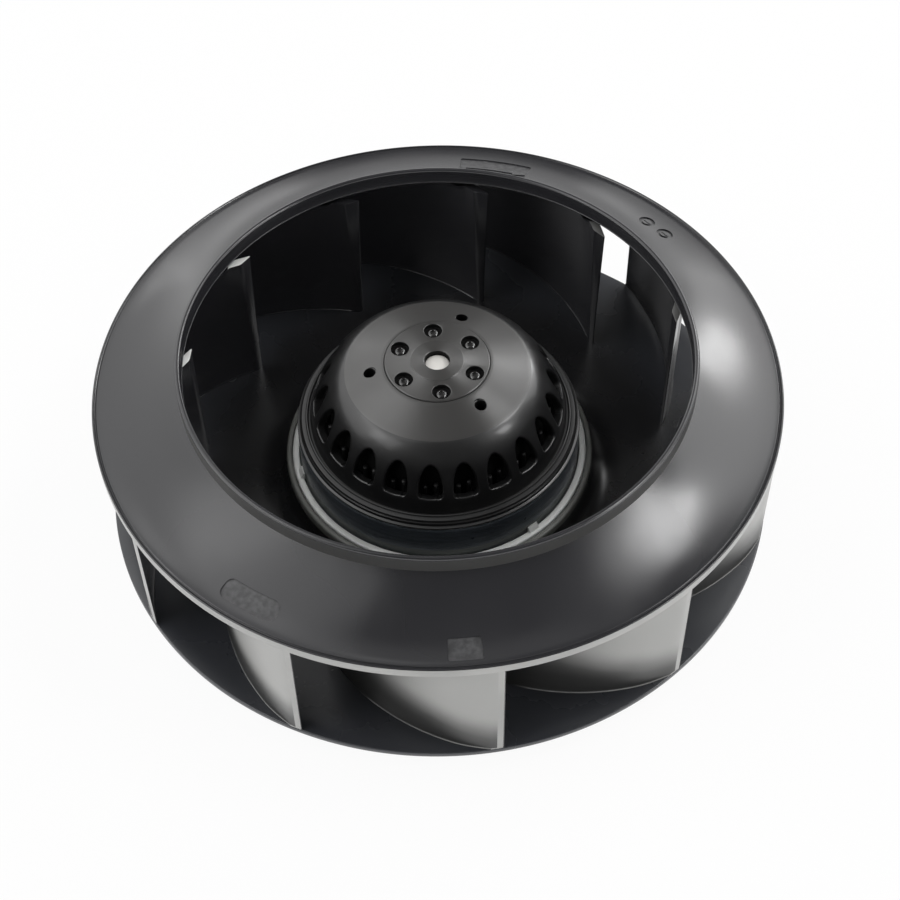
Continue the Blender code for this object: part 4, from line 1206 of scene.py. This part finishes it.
def stator_flange():
    tube, bore = 13.6, 9.5
    seat = 11.15
    profile = [(seat, 1.5), (26.3, 1.5), (26.9, 1.3)]
    profile += [(27.5, 0.25), (27.8, 0.0), (FLANGE_R - 0.5, 0.0)]
    profile += arc((FLANGE_R - 0.5, 0.5), 0.5, -90, 0, 4) + [(FLANGE_R, 5.2), (FLANGE_R - 0.4, 5.6)]
    profile += [(42.9, 5.6), (42.6, 5.0), (42.0, 4.5), (14.8, 4.5), (13.9, 4.9), (tube, 5.8)]
    profile += [(tube, TUBE_TOP_Z - 0.3), (tube - 0.3, TUBE_TOP_Z), (seat, TUBE_TOP_Z)]
    profile += [(seat, 42.0), (bore, 42.0), (bore, 12.6), (seat, 12.6)]
    nodes = ["stator_flange"]
    obj = turned("flange_surface", profile, CAST, nodes, "stator", 180)
    places = [polar(SCREW_PITCH_R, angle) for angle in spaced(SCREW_COUNT, 45.0)]

    def bosses(bm):
        for place in places:
            outline = [(0, 2.0), (4.4, 2.0), (4.4, 6.2), (4.1, 6.5), (0, 6.5)]
            revolve(bm, outline, 48, place)

    cut(obj, "bosses", bosses, "UNION")

    def threads(bm):
        for place in places:
            outline = [(0, -1.0), (2.3, -1.0), (2.3, 0.0)]
            for turn in range(9):
                low = turn * THREAD_PITCH
                outline += [(THREAD_ROOT_R, 0.35 + low), (THREAD_CREST_R, 0.6 + low)]
            outline += [(THREAD_CREST_R, 5.2), (0, 5.5)]
            revolve(bm, outline, 40, place)

    cut(obj, "threads", threads)
    hole = [(0, -1.0), (4.6, -1.0), (4.6, 8.0), (0, 8.0)]
    cut(obj, "cable_hole", lambda bm: revolve(bm, hole, 64, CABLE_PLACE))
    nodes = ["cable_grommet"]
    piece("flange_grommet_surface", grommet, RUBBER, "stator", nodes)
    low = 1.7
    cap = [(0, low + 0.25), (6.4, low + 0.25), (7.0, low)]
    cap += [(10.2, low), (10.85, low + 0.5), (10.85, 5.0)]
    cap += [(9.65, 5.0), (9.65, 2.7), (0, 2.6)]
    nodes = ["bearing_cap"]
    turned("bearing_cap_surface", cap, PLATED, nodes, "stator", 96)


def grommet(bm):
    bore, lip, neck = 3.2, 5.4, 4.3
    profile = [(bore, 0.8), (bore + 0.4, 0.4), (lip - 0.4, 0.4), (lip, 0.75)]
    profile += [(lip, 1.2), (neck, 1.2), (neck, 4.8)]
    profile += [(lip, 4.8), (lip, 5.25), (lip - 0.4, 5.6), (bore + 0.4, 5.6), (bore, 5.3)]
    profile += [(bore + 0.25, 4.2), (bore, 3.4), (bore + 0.25, 2.6), (bore, 1.8)]
    revolve(bm, profile, 64, CABLE_PLACE)


KEPT = {
    "stator_stack": STATOR_STEEL,
    "rotor_cage_ring": CAST,
    "stator_winding": COPPER,
    "upper_insulator": CREAM,
    "lower_insulator": CREAM,
    "thermal_protector": BLACK_PLASTIC,
    "retaining_ring": PLATED,
    "wave_spring": PLATED,
    "lower_ball_cage": BRASS,
    "upper_ball_cage": BRASS,
    "lower_bearing_inner_ring": BRIGHT,
    "lower_bearing_outer_ring": BRIGHT,
    "upper_bearing_inner_ring": BRIGHT,
    "upper_bearing_outer_ring": BRIGHT,
}
SOFT_EDGE = 0.12


def kept_nodes():
    """Inner solids stay as they are, with soft edges and their finish."""
    for name, material in KEPT.items():
        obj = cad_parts[name]
        for slot in obj.material_slots:
            slot.material = material
        bevel = obj.modifiers.new("soft_edges", "BEVEL")
        bevel.width = SOFT_EDGE * MM
        bevel.segments = 2
        bevel.limit_method = "ANGLE"
        bevel.angle_limit = math.radians(40)


# Camera and studio

FOCAL_PX = 1774.7
IMAGE_PX = 900
SENSOR = 36.0
ELEVATION = 51.24
ROLL = -0.97
DISTANCE = 606.0
AIM = (3.59, 7.13, PLATE_LOW_Z)  # right, up, and the height of the aim's plane


def camera():
    tilt, roll = math.radians(ELEVATION), math.radians(ROLL)
    back = Vector((0, -math.cos(tilt), math.sin(tilt)))
    right, up = Vector((1, 0, 0)), Vector((0, math.sin(tilt), math.cos(tilt)))
    place = (back * DISTANCE + right * AIM[0] + up * AIM[1] + Vector((0, 0, AIM[2]))) * MM
    across = right * math.cos(roll) + up * math.sin(roll)
    upward = up * math.cos(roll) - right * math.sin(roll)
    data = bpy.data.cameras.new("camera")
    data.sensor_width = SENSOR
    data.lens = SENSOR * FOCAL_PX / IMAGE_PX
    data.clip_start = 0.01
    obj = bpy.data.objects.new("camera", data)
    turn = Matrix((across, upward, back)).transposed().to_4x4()
    obj.matrix_world = Matrix.Translation(place) @ turn
    bpy.context.scene.collection.objects.link(obj)
    bpy.context.scene.camera = obj


LAMP_DISTANCE = 3.0  # in metres, like the height that the lamps aim at
LAMP_AIM_Z = 0.04


def softbox(name, azimuth, elevation, size, power):
    """An area light that faces the fan from a direction, in degrees from +X towards +Y."""
    data = bpy.data.lights.new(name, "AREA")
    data.shape = "RECTANGLE"
    data.size, data.size_y = size
    data.energy = power
    obj = bpy.data.objects.new(name, data)
    az, el = math.radians(azimuth), math.radians(elevation)
    way = Vector((math.cos(el) * math.cos(az), math.cos(el) * math.sin(az), math.sin(el)))
    obj.location = way * LAMP_DISTANCE + Vector((0, 0, LAMP_AIM_Z))
    obj.rotation_euler = way.to_track_quat("Z", "Y").to_euler()
    bpy.context.scene.collection.objects.link(obj)


WHITE = (1.0, 1.0, 1.0, 1.0)
FLOOR_SIZE = 4.0  # metres from the floor's middle to its edge
FLOOR_GREY = 0.86
FLOOR_WHITE = 0.94  # how much of the floor's own shading the white hides


def mix_shaders(tree, share, one, other):
    """The one shader where the share is 0 and the other where it is 1."""
    node = new_node(tree, "ShaderNodeMixShader")
    for socket, value in zip(node.inputs, (share, one, other)):
        tree.links.new(value, socket)
    return node.outputs[0]


def white_when_seen(tree, shader):
    """Camera, glossy and transmission rays see nearly plain white, and other rays the shader."""
    path = new_node(tree, "ShaderNodeLightPath")
    seen = path.outputs["Is Camera Ray"]
    for kind in ("Is Glossy Ray", "Is Transmission Ray"):
        seen = math_node(tree, "MAXIMUM", seen, path.outputs[kind])
    share = math_node(tree, "MULTIPLY", seen, FLOOR_WHITE)
    white = new_node(tree, "ShaderNodeEmission", Color=WHITE)
    return mix_shaders(tree, share, shader, white.outputs[0])


WORLD_STRENGTH = 0.8
# name, azimuth, elevation, size in metres, power in watts
SOFTBOXES = (
    ("left_wall", 156.0, 34.0, (4.8, 3.0), 56.0),
    ("left_high", 184.0, 60.0, (1.8, 1.8), 11.5),
    ("left_front", -150.0, 42.0, (1.2, 1.2), 9.0),
    ("back_high", 125.0, 64.0, (1.3, 1.3), 3.8),
    ("back_left", 111.0, 18.0, (0.9, 1.1), 4.2),
    ("back_right", 68.0, 18.0, (0.9, 1.1), 3.0),
    ("right_wall", 42.0, 33.0, (2.1, 2.1), 34.0),
    ("right_front", -15.0, 40.0, (0.5, 0.7), 11.0),
    ("key_high", 11.0, 53.0, (0.75, 0.75), 17.0),
    ("key_low", 46.0, 23.0, (0.5, 0.5), 8.0),
    ("right_low", -15.0, 6.0, (2.4, 1.0), 22.0),
    ("left_low", -165.0, 6.0, (2.4, 1.0), 14.0),
    ("front", -85.0, 10.0, (5.6, 1.0), 20.0),
    ("overhead", 90.0, 80.0, (1.5, 0.8), 1.2),
)


def studio_walls(tree):
    """White walls up to about 15 degrees above the horizon, and a dark ceiling."""
    place = new_node(tree, "ShaderNodeTexCoord")
    split = new_node(tree, "ShaderNodeSeparateXYZ")
    tree.links.new(place.outputs["Generated"], split.inputs[0])
    levels = ((0.0, 0.78), (0.20, 0.78), (0.33, 0.13), (1.0, 0.10))
    return ramp(tree, split.outputs["Z"], [(up, (level,) * 3) for up, level in levels])


def studio():
    floor = bpy.data.objects.new("floor", bpy.data.meshes.new("floor"))
    bm = bmesh.new()
    bmesh.ops.create_grid(bm, x_segments=1, y_segments=1, size=FLOOR_SIZE)
    bm.to_mesh(floor.data)
    bm.free()
    bpy.context.scene.collection.objects.link(floor)
    pale = bpy.data.materials.new("floor")
    pale.use_nodes = True
    shader = pale.node_tree.nodes["Principled BSDF"]
    shader.inputs["Base Color"].default_value = (FLOOR_GREY, FLOOR_GREY, FLOOR_GREY, 1.0)
    shader.inputs["Roughness"].default_value = 0.9
    surface = pale.node_tree.nodes["Material Output"].inputs["Surface"]
    pale.node_tree.links.new(white_when_seen(pale.node_tree, shader.outputs[0]), surface)
    floor.data.materials.append(pale)

    world = bpy.data.worlds.new("studio")
    world.use_nodes = True
    tree = world.node_tree
    background = tree.nodes["Background"]
    background.inputs["Strength"].default_value = WORLD_STRENGTH
    sky = studio_walls(tree)
    tree.links.new(sky, background.inputs["Color"])
    mirrored = new_node(tree, "ShaderNodeBackground")
    tree.links.new(sky, mirrored.inputs["Color"])
    plain = new_node(tree, "ShaderNodeBackground", Color=WHITE)
    path = new_node(tree, "ShaderNodeLightPath").outputs
    glossy = mix_shaders(tree, path["Is Glossy Ray"], background.outputs[0], mirrored.outputs[0])
    final = mix_shaders(tree, path["Is Camera Ray"], glossy, plain.outputs[0])
    tree.links.new(final, tree.nodes["World Output"].inputs["Surface"])
    bpy.context.scene.world = world

    for lamp in SOFTBOXES:
        softbox(*lamp)
    bpy.context.scene.view_settings.view_transform = "Standard"


camera()
studio()
shroud()
backplate()
blades()
rotor_ring()
steel_band()
bell()
hub()
shaft_end()
stator_flange()
kept_nodes()
